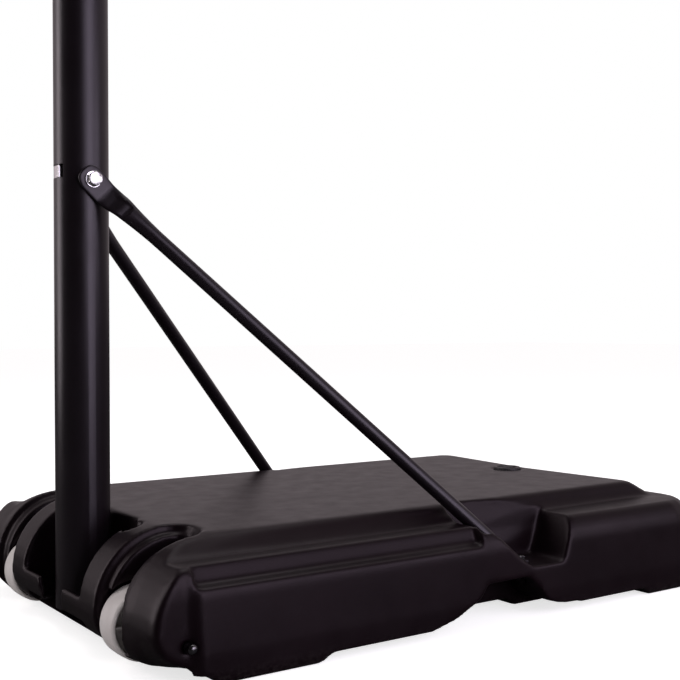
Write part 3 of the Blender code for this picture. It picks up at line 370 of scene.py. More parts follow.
def tube(path, radius, up=(0.0, 0.0, 1.0), columns=16):
    """Carries a circle along a path: P + r (cos a S + sin a T), S and T square to the run."""
    path = np.asarray(path, float)
    side, top = tube_frame(path, up)
    radius = np.broadcast_to(np.asarray(radius, float), len(path))[:, None, None]
    return skin(path[:, None] + radius * spokes(around(columns), side[:, None], top[:, None]))


def bar(start, end, radius, columns=40):
    """A straight round bar."""
    start, end = np.asarray(start, float), np.asarray(end, float)
    return tube([start, end], radius, basis(end - start)[0], columns)


def plate(outline, low, high, edge, axes):
    """Pushes a closed (u, v) outline from low to high, its rims drawn in by a quarter circle."""
    outline = np.asarray(outline, float)
    ahead, back = np.roll(outline, -1, 0) - outline, outline - np.roll(outline, 1, 0)
    run = ahead / np.linalg.norm(ahead, axis=1)[:, None] + back / np.linalg.norm(back, axis=1)[:, None]
    run /= np.linalg.norm(run, axis=1)[:, None]
    area = np.sum(outline[:, 0] * np.roll(outline[:, 1], -1) - outline[:, 1] * np.roll(outline[:, 0], -1))
    inward = np.stack((-run[:, 1], run[:, 0]), 1) * np.sign(area)
    t = np.linspace(0.0, pi / 2, 4)
    inset = np.concatenate((edge * (1 - np.sin(t)), edge * (1 - np.sin(t[::-1]))))
    level = np.concatenate((low + edge * (1 - np.cos(t)), high - edge * (1 - np.cos(t[::-1]))))
    flat = outline[None] + inward[None] * inset[:, None, None]
    u, v, w = (np.asarray(d, float) for d in axes)
    return skin(flat[..., :1] * u + flat[..., 1:] * v + level[:, None, None] * w)


X_Y_Z, Y_Z_X, X_Z_Y = np.eye(3), ((0, 1, 0), (0, 0, 1), (1, 0, 0)), ((1, 0, 0), (0, 0, 1), (0, 1, 0))
print("a bar has", len(bar((0, 0, 0), (0, 0, 1), 0.01)[1]), "faces")

# %% [markdown]
# A few small shapes feed these: an arc of a circle, a path with its points an equal distance
# apart, which keeps a bent tube's faces even, and a plain box, which serves only for cutting.

# %% Arcs, even paths and a box
def circle(centre, radius, first, last, count):
    """Points C + r (cos a, sin a) for a from first to last, in degrees."""
    a = np.radians(np.linspace(first, last, count))
    return np.stack((centre[0] + radius * np.cos(a), centre[1] + radius * np.sin(a)), 1)


def length_so_far(path):
    """The length of a path up to each of its points."""
    return np.concatenate(([0.0], np.cumsum(np.linalg.norm(np.diff(path, axis=0), axis=1))))


def even(path, spacing):
    """The same route with points an equal distance apart, read off by its length so far."""
    path = np.asarray(path, float)
    length = length_so_far(path)
    at = np.linspace(0.0, length[-1], max(3, int(round(length[-1] / spacing)) + 1))
    return np.stack([np.interp(at, length, path[:, k]) for k in range(path.shape[1])], 1)


def brick(low, high):
    """A plain box from two corners, for cutting."""
    return skin(np.array([[(x, y, z) for x, y in rectangle(low, high)] for z in (low[2], high[2])]))


print("half a circle is", round(length_so_far(circle((0, 0), 1, 0, 180, 90))[-1], 4), "radii long")

# %% [markdown]
# ## From surfaces to a piece
#
# A piece may be several closed surfaces, as a welded or screwed thing is. They are gathered in one
# mesh, their doubles merged and their faces turned outwards. Holes are cut afterwards by a
# Boolean. A modifier is applied at once on a passing object, so that only its result is kept.

# %% Gather and cut
MERGE_NEW, MERGE_PACKED = 2e-6, 1e-5


def welded(mesh, reach, outwards=True):
    """Merges points closer together than reach, and turns closed surfaces outwards."""
    shape = bmesh.new()
    shape.from_mesh(mesh)
    bmesh.ops.remove_doubles(shape, verts=shape.verts, dist=reach)
    if outwards:
        bmesh.ops.recalc_face_normals(shape, faces=shape.faces)
    shape.to_mesh(mesh)
    shape.free()
    return mesh


def joined(surfaces):
    """One mesh from several surfaces."""
    vertices, faces, start = [], [], 0
    for points, quads in surfaces:
        vertices.append(np.asarray(points))
        faces.extend([[start + i for i in face] for face in quads])
        start += len(points)
    mesh = bpy.data.meshes.new("surface")
    mesh.from_pydata(np.concatenate(vertices).tolist(), [], faces)
    return welded(mesh, MERGE_NEW)


def modified(mesh, kind, **settings):
    """The mesh as one of Blender's modifiers leaves it."""
    thing = bpy.data.objects.new("work", mesh)
    scene.collection.objects.link(thing)
    modifier = thing.modifiers.new("work", kind)
    for name, value in settings.items():
        setattr(modifier, name, value)
    bpy.context.view_layer.update()
    graph = bpy.context.evaluated_depsgraph_get()
    made = bpy.data.meshes.new_from_object(thing.evaluated_get(graph))
    bpy.data.objects.remove(thing)
    return made


def drilled(mesh, cutters):
    """The mesh with closed surfaces cut out of it; the cutters must not meet each other."""
    tool = bpy.data.objects.new("tool", joined(cutters))
    scene.collection.objects.link(tool)
    made = modified(mesh, "BOOLEAN", operation="DIFFERENCE", object=tool)
    bpy.data.objects.remove(tool)
    return made


print("an axle hole through a block leaves", len(drilled(
    joined([brick((-1, -1, -1), (1, 1, 1))]), [bar((0, -2, 0), (0, 2, 0), 0.5, 8)]).polygons), "faces")

# %% [markdown]
# A finished piece rides on a body, so that it moves with it, takes the finish of its material
# slot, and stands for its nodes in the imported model, which are then hidden. Every piece here goes
# through the same two functions.

# %% Place a piece
def placed(name, mesh, paint, body, nodes):
    """The mesh as an object with its finish, riding on a body in the place of CAD nodes.
    """
    mesh.materials.clear()
    mesh.materials.append(paint)
    thing = bpy.data.objects.new(name, mesh)
    scene.collection.objects.link(thing)
    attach(thing, body)
    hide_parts(*nodes)
    print(f"{name}: {len(mesh.polygons)} faces")


def piece(name, surfaces, paint, body, *nodes, sharp=38.0, cutters=()):
    """One piece from its surfaces, smooth but for edges sharper than an angle in degrees."""
    mesh = joined(surfaces)
    if cutters:
        mesh = drilled(mesh, cutters)
    mesh.shade_smooth()
    mesh.set_sharp_from_angle(angle=np.radians(sharp))
    placed(name, mesh, paint, body, nodes)


# %% [markdown]
# ## Finishes
#
# Each finish is a small node tree on the object's own coordinates: a noise for the grain, a
# second, wider one that changes colour and gloss a little, and a bump far finer than the piece.
# One function builds that base, because the finishes differ only in their numbers. A finish has
# the same name as its material slot.

# %% A finish with grain
GLOSS_WAVES, BUMP_STRENGTH = 3.7, 0.8


def finish(name, colours, rough, grain, depth, metallic=0.0, specular=0.5, wide=9.0):
    """A grained surface: two colours and two gloss values over a wide noise, fine bump on top."""
    paint = bpy.data.materials.new(name)
    paint.use_nodes = True
    tree = paint.node_tree
    shader = tree.nodes["Principled BSDF"].inputs
    feed(tree, metallic, shader["Metallic"])
    feed(tree, specular, shader["Specular IOR Level"])
    place = tree.nodes.new("ShaderNodeTexCoord").outputs["Object"]
    colour = mix_colour(tree, remap(tree, noise(tree, place, wide), 0.0, 1.0), *colours)
    feed(tree, colour, shader["Base Color"])
    feed(tree, remap(tree, noise(tree, place, wide * GLOSS_WAVES), *rough), shader["Roughness"])
    bump = tree.nodes.new("ShaderNodeBump")
    feed(tree, depth, bump.inputs["Distance"])
    feed(tree, BUMP_STRENGTH, bump.inputs["Strength"])
    feed(tree, noise(tree, place, grain, 4.0), bump.inputs["Height"])
    feed(tree, bump.outputs["Normal"], shader["Normal"])
    return paint, tree, shader, place, colour


print("a finish takes two colours, two gloss values, a grain and its depth")

# %% [markdown]
# The tank's plastic is a purplish black with a soft sheen and the fine pebble of a blown
# moulding. Dust settles where it meets the ground, so the colour turns greyer near the floor. The
# poles are painted and a little glossier. The rest need only their own numbers.

# %% Plastic, paint, cord and zinc
DUST, DUST_TOP = (0.10, 0.09, 0.085), 0.022
black_plastic, tree, shader, place, colour = finish(
    "black_plastic", ((0.0026, 0.0008, 0.0016), (0.0044, 0.0017, 0.0028)), (0.34, 0.41), 620.0,
    0.00012, specular=0.17)
feed(tree, (1.0, 0.86, 0.93), shader["Specular Tint"])
height = tree.nodes.new("ShaderNodeSeparateXYZ")
feed(tree, place, height.inputs[0])
low_down = remap(tree, height.outputs["Z"], 0.25, 0.0, 0.0, DUST_TOP)
speckle = remap(tree, noise(tree, place, 240.0, 6.0, 0.7), 0.0, 1.0, 0.45, 0.75)
feed(tree, mix_colour(tree, maths(tree, "MULTIPLY", low_down, speckle), colour, DUST), shader["Base Color"])

black_paint, tree, shader, _, _ = finish(
    "black_paint", ((0.0036, 0.0020, 0.0030), (0.0056, 0.0034, 0.0050)), (0.30, 0.36), 900.0,
    0.00010, specular=0.42, wide=6.0)
feed(tree, (0.97, 0.92, 1.0), shader["Specular Tint"])

cap_plastic = finish("cap_plastic", ((0.010, 0.009, 0.010), (0.016, 0.014, 0.016)),
                     (0.42, 0.55), 1400.0, 0.0001)[0]
pale_plastic = finish("pale_plastic", ((0.50, 0.475, 0.455), (0.60, 0.58, 0.565)),
                      (0.45, 0.60), 700.0, 0.0001, wide=30.0)[0]
orange_paint = finish("orange_paint", ((0.62, 0.105, 0.014), (0.74, 0.145, 0.022)),
                      (0.34, 0.46), 800.0, 0.00016, wide=12.0)[0]
white_cord = finish("white_cord", ((0.66, 0.65, 0.63), (0.76, 0.755, 0.74)),
                    (0.70, 0.85), 2600.0, 0.0002, specular=0.3, wide=60.0)[0]
bright_zinc = finish("bright_zinc", ((0.76, 0.76, 0.78), (0.86, 0.86, 0.87)), (0.20, 0.27),
                     1500.0, 0.000006, metallic=1.0, wide=60.0)[0]
dark_zinc = finish("dark_zinc", ((0.10, 0.10, 0.105), (0.16, 0.155, 0.16)), (0.16, 0.24),
                   1500.0, 0.000008, metallic=1.0, wide=120.0)[0]
print("finishes:", sorted(m.name for m in bpy.data.materials))

# %% [markdown]
# ## The moulded tank
#
# The base is one blown moulding: every edge is soft because the plastic is pressed into its mould
# as a hot balloon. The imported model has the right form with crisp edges. Three spots are first
# trimmed by cutters: the pocket's inner wall leans in towards its top, the shoulder's blunt end at
# the pocket's lip comes off, and the lower edge between the wheels sits a little higher.

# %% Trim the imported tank
POCKET_FLOOR, ABOVE_DECK = 0.0704, 0.1620
WALL_Y, LEAN_REAR, LEAN_FRONT, POCKET_OUT = 0.2420, 0.0300, 0.0080, 0.2780
SLOT_HALF, SLOT_FOOT = 0.1560, 0.0195


def pocket_wall(side):
    """Outlines from the pocket's floor up past the deck; the inner edge moves in as they rise."""
    levels = (POCKET_FLOOR, 0.0740, 0.1100, 0.1400, ABOVE_DECK)
    rear, front = (0.4715, 0.4650, 0.4345, 0.4245, 0.4215), (0.5630, 0.5695, 0.5845, 0.5968, 0.5990)
    rings = []
    for z, x0, x1 in zip(levels, rear, front):
        rise = (z - POCKET_FLOOR) / (ABOVE_DECK - POCKET_FLOOR)
        flat = [(x0, WALL_Y - LEAN_REAR * rise), (x1, WALL_Y - LEAN_FRONT * rise),
                (x1, POCKET_OUT), (x0, POCKET_OUT)]
        rings.append([(POLE_X + x, side * y, z) for x, y in flat])
    return skin(np.array(rings))


def lip_corner(side):
    """Takes the shoulder's blunt end off where it meets the pocket's low lip."""
    profile = [(0.2960, 0.1310), (0.3000, 0.1180), (0.3040, 0.1105), (0.345, 0.1105), (0.345, 0.150),
               (0.2960, 0.150)]
    return skin(np.array([[(POLE_X + x, side * y, z) for y, z in profile] for x in (0.415, 0.450)]))


cutters = [make(side) for side, _ in SIDES for make in (pocket_wall, lip_corner)]
cutters.append(brick((POLE_X - 0.12, -SLOT_HALF, -0.01), (POLE_X + 0.016, SLOT_HALF, SLOT_FOOT)))
packed_tank = welded(NODES["base_tank"].data.copy(), MERGE_PACKED, outwards=False)
trimmed = drilled(packed_tank, cutters)
print("trimmed tank:", len(trimmed.polygons), "faces")

# %% [markdown]
# Rounding hundreds of edges where cuts meet is fragile, so the whole solid is wrapped again in a
# fine even net, and each point of the net is then moved towards the mean of its neighbours. Flat
# areas stay where they are, and an edge turns into a curve of a few millimetres. The net is then
# thinned, which takes faces from the flat areas first.

# %% Wrap and soften the tank
VOXEL, ROUNDS = ((0.0028, 5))
SHARE, TARGET = 0.5, 180000


def array_of(items, key, width, kind):
    """One value of every point or edge of a mesh, as one array."""
    values = np.empty(len(items) * width, kind)
    items.foreach_get(key, values)
    return values.reshape(-1, width)


def relaxed(points, edges, rounds, share):
    """Moves each point towards the mean of its neighbours by a share of the way, in rounds."""
    first, second = edges[:, 0], edges[:, 1]
    count = np.bincount(edges.ravel(), minlength=len(points))[:, None]
    for _ in range(rounds):
        total = np.stack([
            np.bincount(first, points[second, k], len(points))
            + np.bincount(second, points[first, k], len(points)) for k in range(3)], 1)
        points = points + (total / count - points) * share
    return points


net = modified(trimmed, "REMESH", mode="VOXEL", voxel_size=VOXEL)
edges = array_of(net.edges, "vertices", 2, np.int32)
points = relaxed(array_of(net.vertices, "co", 3, np.float32).astype(float), edges, ROUNDS, SHARE)
points = np.clip(points, *box("base_tank"))
net.vertices.foreach_set("co", points.astype(np.float32).ravel())
print("net:", len(net.polygons), "faces")

thin = modified(net, "DECIMATE", ratio=min(1.0, TARGET / (2 * len(net.polygons))))
thin.shade_smooth()
placed("base_skin", thin, black_plastic, "stand", ["base_tank"])

# %% [markdown]
# ## Fasteners
#
# A bolt head is a hexagon whose corners are turned off by a cone, and that is what leaves the
# curved edge on each of its six sides. Cutting a cone out of a prism would do it, but the shape
# is simpler as one formula: the radius is the smaller of the hexagon's and the cone's. A thread
# is one formula too, because its depth depends only on the height and the angle together.

# %% Hexagons
Bolt = namedtuple("Bolt", "radius pitch across head nut")
M10, M8 = Bolt(0.0050, 0.0015, 0.0172, 0.0080, 0.0085), Bolt(0.0040, 0.00125, 0.013, 0.0053, 0.0065)
GAP, ROUND_FACE = 0.0003, 0.46


def hexagon(centre, axis, across, levels, bore=0.0, columns=96):
    """A hexagon with turned corners: r = min(across / 2 / cos f(a), limit), f folds a to 60 degrees.

    Levels are (height, limit) pairs. With a bore the first and last level close on it.
    """
    u, v, w = basis(axis)
    a = around(columns)
    side = across / 2 / np.cos((a + pi / 6) % (pi / 3) - pi / 6)
    height, limit = np.asarray(levels, float).T
    radius = np.minimum(side, limit[:, None])
    if bore:
        inner = np.full((1, columns), bore)
        radius = np.concatenate((inner, radius, inner, inner))
        height = np.concatenate((height[:1], height, height[-1:], height[:1]))
    points = np.asarray(centre, float) + radius[..., None] * spokes(a, u, v) + height[:, None, None] * w
    return skin(points, capped=not bore)


def to_corner(across):
    """Half the width of a hexagon across its corners, from its width across flats."""
    return across / 2 / np.cos(pi / 6)


def cone(height, across):
    """Levels of a turned end: the limit falls from the corner to the round face at 30 degrees."""
    corner, face = to_corner(across), across * ROUND_FACE
    drop = (corner - face) * np.tan(pi / 6)
    return [(height - drop * (1 - t), corner + (face - corner) * t) for t in (0.0, 0.35, 0.7, 1.0)]


def bolt_head(centre, axis, size):
    """A head with its outer end turned to a flat round face."""
    corner = to_corner(size.across)
    levels = [(0.0, corner * 0.97), (0.0003, corner), *cone(size.head, size.across)]
    return hexagon(centre, axis, size.across, levels)


def nut(centre, axis, size):
    """A nut, both ends turned, with its bore."""
    top = cone(size.nut, size.across)
    levels = [(size.nut - h, limit) for h, limit in reversed(top)] + top
    return hexagon(centre, axis, size.across, levels, size.radius + GAP)


print("an M10 head is", round(2000 * to_corner(M10.across), 1), "mm across its corners")

# %% [markdown]
# A bolt is a head, a plain shank and a threaded end. The thread's ridge climbs by one pitch in
# each turn, so a point's depth follows from the fraction of a pitch that its height and its angle
# make together. Six rows to a pitch are enough for it to read as a thread.

# %% Threads, bolts and washers
THREAD_DEPTH, ROWS_PER_PITCH, IN_HEAD = 0.55, 6, 0.001


def thread(start, axis, length, size, columns=24):
    """A threaded end: r = R - d |2 f - 1|, f the fraction of h / pitch - a / 2 pi; its tip is turned."""
    u, v, w = basis(axis)
    a = around(columns)
    h = np.arange(0.0, length + size.pitch / 12, size.pitch / ROWS_PER_PITCH)
    h[-1] = length
    f = (h[:, None] / size.pitch - a / (2 * pi)) % 1.0
    depth = THREAD_DEPTH * size.pitch
    ridge = size.radius - depth * np.abs(2 * f - 1)
    radius = np.minimum(ridge, size.radius - depth + (length - h)[:, None])
    return skin(np.asarray(start, float) + radius[..., None] * spokes(a, u, v) + h[:, None, None] * w)


def screw(seat, run, length, threaded, size):
    """A bolt from the seat of its head along its run; the shank starts a little inside the head."""
    seat, run = np.asarray(seat, float), np.asarray(run, float)
    neck = seat + run * (length - threaded)
    return [bar(seat - run * IN_HEAD, neck, size.radius), thread(neck, run, threaded, size),
            bolt_head(seat, -run, size)]


def washer(centre, axis, outer, bore, thick):
    """A flat ring with its edges rounded."""
    return turned(rectangle((bore, 0.0), (outer, thick)), centre, axis, 64, 0.0004, 4, loop=True)


print("an M8 thread is", round(THREAD_DEPTH * M8.pitch * 1000, 2), "mm deep")

# %% [markdown]
# ## The poles
#
# Each pole is a painted steel tube. The profile of its wall, with edges rounded by a few tenths,
# is turned about the axis, and the bolt holes, the stop's window and the row of pin holes are cut
# out afterwards, because a hole through a round wall has no simple grid of its own.

# %% Turn the poles and cut their holes
POLE_R, UPPER_R, POLE_WALL, FOOT_LIFT = 0.035, 0.03175, 0.002, 0.009
WINDOW_HALF, HOLE_PITCH, HOLES = 0.0165, 0.1524, 6
PIN_Z, BOLT_Z, AXLE_Z = (middle(node)[2] for node in ("height_pin", "strut_bolt", "axle"))
stop_low, stop_high = box("stop_screw")


def pole_wall(node, radius, lift=0.0):
    """A pole's wall turned about its axis, its foot lifted if asked."""
    low, high = (corner[2] for corner in box(node))
    inner = radius - POLE_WALL
    profile = [(radius, high), (radius, low + lift), (inner, low + lift), (inner, high)]
    return turned(profile, (POLE_X, 0.0, 0.0), (0, 0, 1), 128, 0.0005, 3, loop=True)


def cross_hole(z, radius):
    """A round hole from side to side of the pole."""
    return bar((POLE_X, -0.05, z), (POLE_X, 0.05, z), radius)


def pin_hole(z):
    """A hole for the height pin, in the right wall only."""
    return bar((POLE_X, -0.010, z), (POLE_X, -0.050, z), 0.0051)


window = brick((POLE_X - 0.05, -WINDOW_HALF, stop_low[2] - GAP),
               (POLE_X - 0.015, WINDOW_HALF, stop_high[2] + GAP))
piece("lower_pole_tube", [pole_wall("lower_pole", POLE_R, FOOT_LIFT)], black_paint, "stand", "lower_pole",
      cutters=[cross_hole(AXLE_Z, 0.0048), cross_hole(BOLT_Z, 0.0053), window, pin_hole(PIN_Z)])
piece("upper_pole_tube", [pole_wall("upper_pole", UPPER_R)], black_paint, "upper_stand", "upper_pole",
      cutters=[pin_hole(PIN_Z - n * HOLE_PITCH) for n in range(HOLES)])

# %% [markdown]
# ## The braces
#
# A brace is a round tube pressed flat at both ends. The press leaves a thin paddle that swells
# back into the tube, and on its outer side a flat face that ends in a short step. The shape is a
# row of sections along the run. Each is a superellipse with its own width, thickness and
# squareness, and a smooth curve through nineteen stations gives every ring between them. It must
# not swing past its stations, or the thin paddle would bulge, so its slopes are limited.

# %% Draw a curve that never overshoots
def through(knots, values, at):
    """A smooth curve through values that never overshoots: Hermite pieces, harmonic-mean slopes."""
    knots, values = np.asarray(knots, float), np.asarray(values, float)
    step = np.diff(knots)[:, None]
    rise = np.diff(values, axis=0) / step
    same = rise[:-1] * rise[1:] > 0
    a, b = 2 * step[1:] + step[:-1], step[1:] + 2 * step[:-1]
    before, after = np.where(same, rise[:-1], 1.0), np.where(same, rise[1:], 1.0)
    slope = np.zeros_like(values)
    slope[1:-1] = np.where(same, (a + b) / (a / before + b / after), 0.0)
    slope[0], slope[-1] = rise[0], rise[-1]
    i = np.clip(np.searchsorted(knots, at, side="right") - 1, 0, len(knots) - 2)
    t = ((at - knots[i]) / (knots[i + 1] - knots[i]))[:, None]
    span = (knots[i + 1] - knots[i])[:, None]
    return ((2 * t ** 3 - 3 * t ** 2 + 1) * values[i] + (t ** 3 - 2 * t ** 2 + t) * span * slope[i]
            + (3 * t ** 2 - 2 * t ** 3) * values[i + 1] + (t ** 3 - t ** 2) * span * slope[i + 1])


def unit(v):
    """The same directions with length 1."""
    return v / np.linalg.norm(v, axis=-1, keepdims=True)


print("halfway up a step:", through((0, 1, 2, 3), [[0], [0], [1], [1]], np.array([1.5]))[0])

# %% [markdown]
# Each station is a centre, the run there, the direction of the section's width, half its width,
# half its thickness and a power: 1 gives an ellipse, and less gives a squarer section. The dent of
# the press limits how far the outer side may stand out, and its upper edge curls up a little.

# %% Loft the braces
TUBE_R, PADDLE_T, PADDLE_W = 0.0097, 0.0025, 0.0168
FOOT_T, FOOT_W = 0.0022, 0.0128
OUT, UP = np.array((0.0, 1.0, 0.0)), np.array((0.0, 0.0, 1.0))
brace_top, brace_aim = np.array((0.0003, 0.0352, BOLT_Z)), np.array((0.467, 0.2693, 0.1058))
run = brace_aim - brace_top
paddle = np.array((0.0, POLE_R + GAP + PADDLE_T, BOLT_Z))
foot_bolt = middle("foot_bolt_left")
foot = np.array((foot_bolt[0] - POLE_X, foot_bolt[1], 0.070 + GAP + FOOT_T))
flat_run = unit(np.array((run[0], 0.0, run[2])))
foot_run = unit(np.array((run[0], run[1] * 0.25, 0.0)))
steep = np.cross(flat_run, OUT)
STATIONS = [
    (paddle - flat_run * 0.0173, flat_run, steep, 0.0040, PADDLE_T * 0.5, 0.9),
    (paddle - flat_run * 0.0170, flat_run, steep, 0.0060, PADDLE_T * 0.7, 0.9),
    (paddle - flat_run * 0.0155, flat_run, steep, 0.0105, PADDLE_T, 0.8),
    (paddle - flat_run * 0.0100, flat_run, steep, 0.0145, PADDLE_T, 0.6),
    (paddle, flat_run, steep, PADDLE_W + 0.0004, PADDLE_T, 0.55),
    (paddle + flat_run * 0.0200, flat_run, steep, PADDLE_W - 0.0002, PADDLE_T, 0.55),
    (paddle + flat_run * 0.0360 + OUT * 0.0060, flat_run * 3 + OUT, steep, 0.0157, 0.0036, 0.7),
    (brace_top + run * 0.074, run, steep, 0.0142, 0.0058, 0.9),
    (brace_top + run * 0.091, run, steep, 0.0130, 0.0072, 1.0),
    (brace_top + run * 0.107, run, steep, 0.0118, 0.0083, 1.0),
    (brace_top + run * 0.135, run, steep, 0.0104, 0.0094, 1.0),
    (brace_top + run * 0.160, run, steep, TUBE_R, TUBE_R, 1.0),
    (brace_top + run * 0.970, run, UP, TUBE_R, TUBE_R, 1.0),
    (brace_top + run * 1.005, run + foot_run * 0.1, UP, 0.0088, 0.0104, 1.0),
    (foot - foot_run * 0.0200 + UP * 0.0035, run + foot_run * 0.9, UP, 0.0042, 0.0122, 0.9),
    (foot - foot_run * 0.0120, foot_run, UP, FOOT_T, FOOT_W, 0.6),
    (foot + foot_run * 0.0040, foot_run, UP, FOOT_T, FOOT_W, 0.6),
    (foot + foot_run * 0.0095, foot_run, UP, FOOT_T, 0.0095, 0.8),
    (foot + foot_run * 0.0120, foot_run, UP, 0.0016, 0.0050, 0.9),
]
DENT_AT, DENT_LIMIT = (0.030, 0.060, 0.077, 0.080, 0.086), (0.0025, 0.0027, 0.0036, 0.0045, 0.0105)
STRAIGHT_ENDS = 12  # the station at which the straight tube ends


def brace(side):
    """Rings P + w c U + t s V along the run, c and s raised to a power that squares the section."""
    centre, along, wide, w, t, power = (np.array(column, float) for column in zip(*STATIONS))
    so_far = length_so_far(centre)
    end = so_far[STRAIGHT_ENDS]
    at = np.concatenate([np.arange(0.0, 0.125, 0.0012), np.linspace(0.14, end - 0.01, 24),
                         np.arange(end, so_far[-1], 0.0015), so_far[-1:]])
    stations = np.concatenate((centre, unit(along), unit(wide), np.stack((w, t, power), 1)), 1)
    made = through(so_far, stations, at)
    centre, along, wide = made[:, :3], unit(made[:, 3:6]), made[:, 6:9]
    w, t, power = made[:, 9:10], made[:, 10:11], made[:, 11:12]
    u = unit(wide - along * np.sum(wide * along, 1, keepdims=True))
    v = np.cross(along, u)
    a = around(48)
    c, s = np.cos(a)[None], np.sin(a)[None]
    across = w * np.abs(c) ** power * np.sign(c)
    deep = t * np.abs(s) ** power * np.sign(s)
    outward = np.sign(np.sum(v * OUT, 1, keepdims=True))
    upward = across * np.sign(np.sum(u * UP, 1, keepdims=True))
    curl = 1.3 * np.maximum(upward - 0.0068, 0.0)
    limit = np.interp(at, DENT_AT, DENT_LIMIT)[:, None] + curl
    deep = outward * np.minimum(deep * outward, limit)
    ring = centre[:, None] + u[:, None] * across[..., None] + v[:, None] * deep[..., None]
    return skin(ring * (1.0, side, 1.0) + (POLE_X, 0.0, 0.0))


for side, name in SIDES:
    piece(f"brace_{name}", [brace(side)], black_paint, "stand", f"strut_{name}")

# %% [markdown]
# The long bolt goes through both paddles and the pole. Its bright head, washer and nut are the
# only light spots on the black stand, so they get their full form: a turned hexagon, rounded
# washers, and a real thread on the end that stands out of the nut. The bolts at the braces' feet
# sit in the pockets and are dull, and a small bright block in the pole's rear window is the stop.

# %% Bolts, washers, nuts and the stop
WASHER_R, WASHER_T = 0.0106, 0.0016
PLAIN_END, FOOT_PLAIN_END = 0.030, 0.060
washer_seat = POLE_R + 2 * GAP + 2 * PADDLE_T
nut_seat = washer_seat + WASHER_T + GAP
bolt_end = box("strut_bolt")[1][1]
piece("brace_bolt", screw((POLE_X, -nut_seat, BOLT_Z), (0, 1, 0), bolt_end + nut_seat,
                          bolt_end - PLAIN_END, M10), bright_zinc, "stand", "strut_bolt")
for side, name in SIDES:
    place = (POLE_X, side * washer_seat, BOLT_Z)
    piece(f"brace_washer_{name}", [washer(place, (0, side, 0), WASHER_R, M10.radius + GAP, WASHER_T)],
          bright_zinc, "stand", f"strut_washer_{name}")
piece("brace_nut", [nut((POLE_X, nut_seat, BOLT_Z), (0, 1, 0), M10)], bright_zinc, "stand", "strut_nut")

for side, name in SIDES:
    low, high = box(f"foot_bolt_{name}")
    x, y, seat = foot_bolt[0], side * foot_bolt[1], high[2] - M8.head
    piece(f"foot_screw_{name}", screw((x, y, seat), (0, 0, -1), seat - low[2], FOOT_PLAIN_END - low[2], M8),
          dark_zinc, "stand", f"foot_bolt_{name}")
    top = box(f"foot_nut_{name}")[1][2]
    piece(f"foot_screw_nut_{name}", [nut((x, y, top), (0, 0, -1), M8)], dark_zinc, "stand",
          f"foot_nut_{name}")

outline = rounded(rectangle(stop_low, stop_high), 0.0007, 4, loop=True)
piece("stop_block", [plate(outline, stop_low[2], stop_high[2], 0.0006, X_Y_Z)], bright_zinc, "stand",
      "stop_screw")

# %% [markdown]
# ## Wheels and axle
#
# A wheel is one pale moulding: a crowned tread, a thin web, a hub and six ribs on each side. The
# profile is turned, every corner rounded the way a mould leaves it, and the ribs are thin plates.
# The axle runs right across the base and ends in two dark push-on caps.

# %% Mould the wheels
WHEEL_R, WHEEL_HALF, AXLE_R, WEB, RIBS = 0.043, 0.020, 0.0045, 0.004, 6
WHEEL_Y, AXLE_END = middle("wheel_left")[1], box("axle")[1][1]


def wheel(side):
    """One side's half profile, mirrored and turned, with ribs from the hub to the tread."""
    hub = WHEEL_HALF + 0.0015
    half = [(AXLE_R + GAP, hub), (0.0125, hub), (0.0135, WEB), (0.0362, WEB), (0.0380, WHEEL_HALF),
            (WHEEL_R - 0.0028, WHEEL_HALF), (WHEEL_R - 0.0004, WHEEL_HALF - 0.0030), (WHEEL_R, 0.004)]
    profile = half + [(r, -h) for r, h in reversed(half)]
    centre = (POLE_X, side * WHEEL_Y, AXLE_Z)
    parts = [turned(profile, centre, (0, 1, 0), 96, 0.0016, 4, loop=True)]
    for n in range(RIBS):
        spoke, across = (np.array((np.cos(a), np.sin(a))) for a in (n * pi / 3, n * pi / 3 + pi / 2))
        outline = [spoke * r + across * w + (POLE_X, AXLE_Z)
                   for r, w in rectangle((0.0115, -0.0016), (0.0372, 0.0016))]
        parts.append(plate(outline, centre[1] - 0.014, centre[1] + 0.014, 0.0009, X_Z_Y))
    return parts


for side, name in SIDES:
    piece(f"moulded_wheel_{name}", wheel(side), pale_plastic, f"wheel_{name}", f"wheel_{name}")

profile = [(0.0, AXLE_END), (AXLE_R, AXLE_END), (AXLE_R, -AXLE_END), (0.0, -AXLE_END)]
piece("axle_rod", [turned(profile, (POLE_X, 0.0, AXLE_Z), (0, 1, 0), 40, 0.0005)], dark_zinc, "stand",
      "axle")
for side, name in SIDES:
    low, high = box(f"axle_cap_{name}")
    inner, outer = sorted((abs(low[1]), abs(high[1])))
    tall, socket = outer - inner, AXLE_END - inner + GAP
    dome = [(0.0, tall), (0.0034, tall - 0.0007), (0.0055, tall - 0.0030), (0.0062, tall - 0.0062),
            (0.0062, 0.0), (AXLE_R + GAP, 0.0), (AXLE_R + GAP, socket), (0.0, socket)]
    piece(f"push_cap_{name}", [turned(dome, (POLE_X, side * inner, AXLE_Z), (0, side, 0), 48, 0.0008)],
          dark_zinc, "stand", f"axle_cap_{name}")

# %% [markdown]
# ## The filler cap
#
# The tank is filled with water or sand through a hole in the deck, which a flat plug closes. Its
# skirt goes down into the hole, its rim is fluted, and a raised bar across it is the grip. A
# turned profile gives everything but the bar, so the bar is a plate of its own.

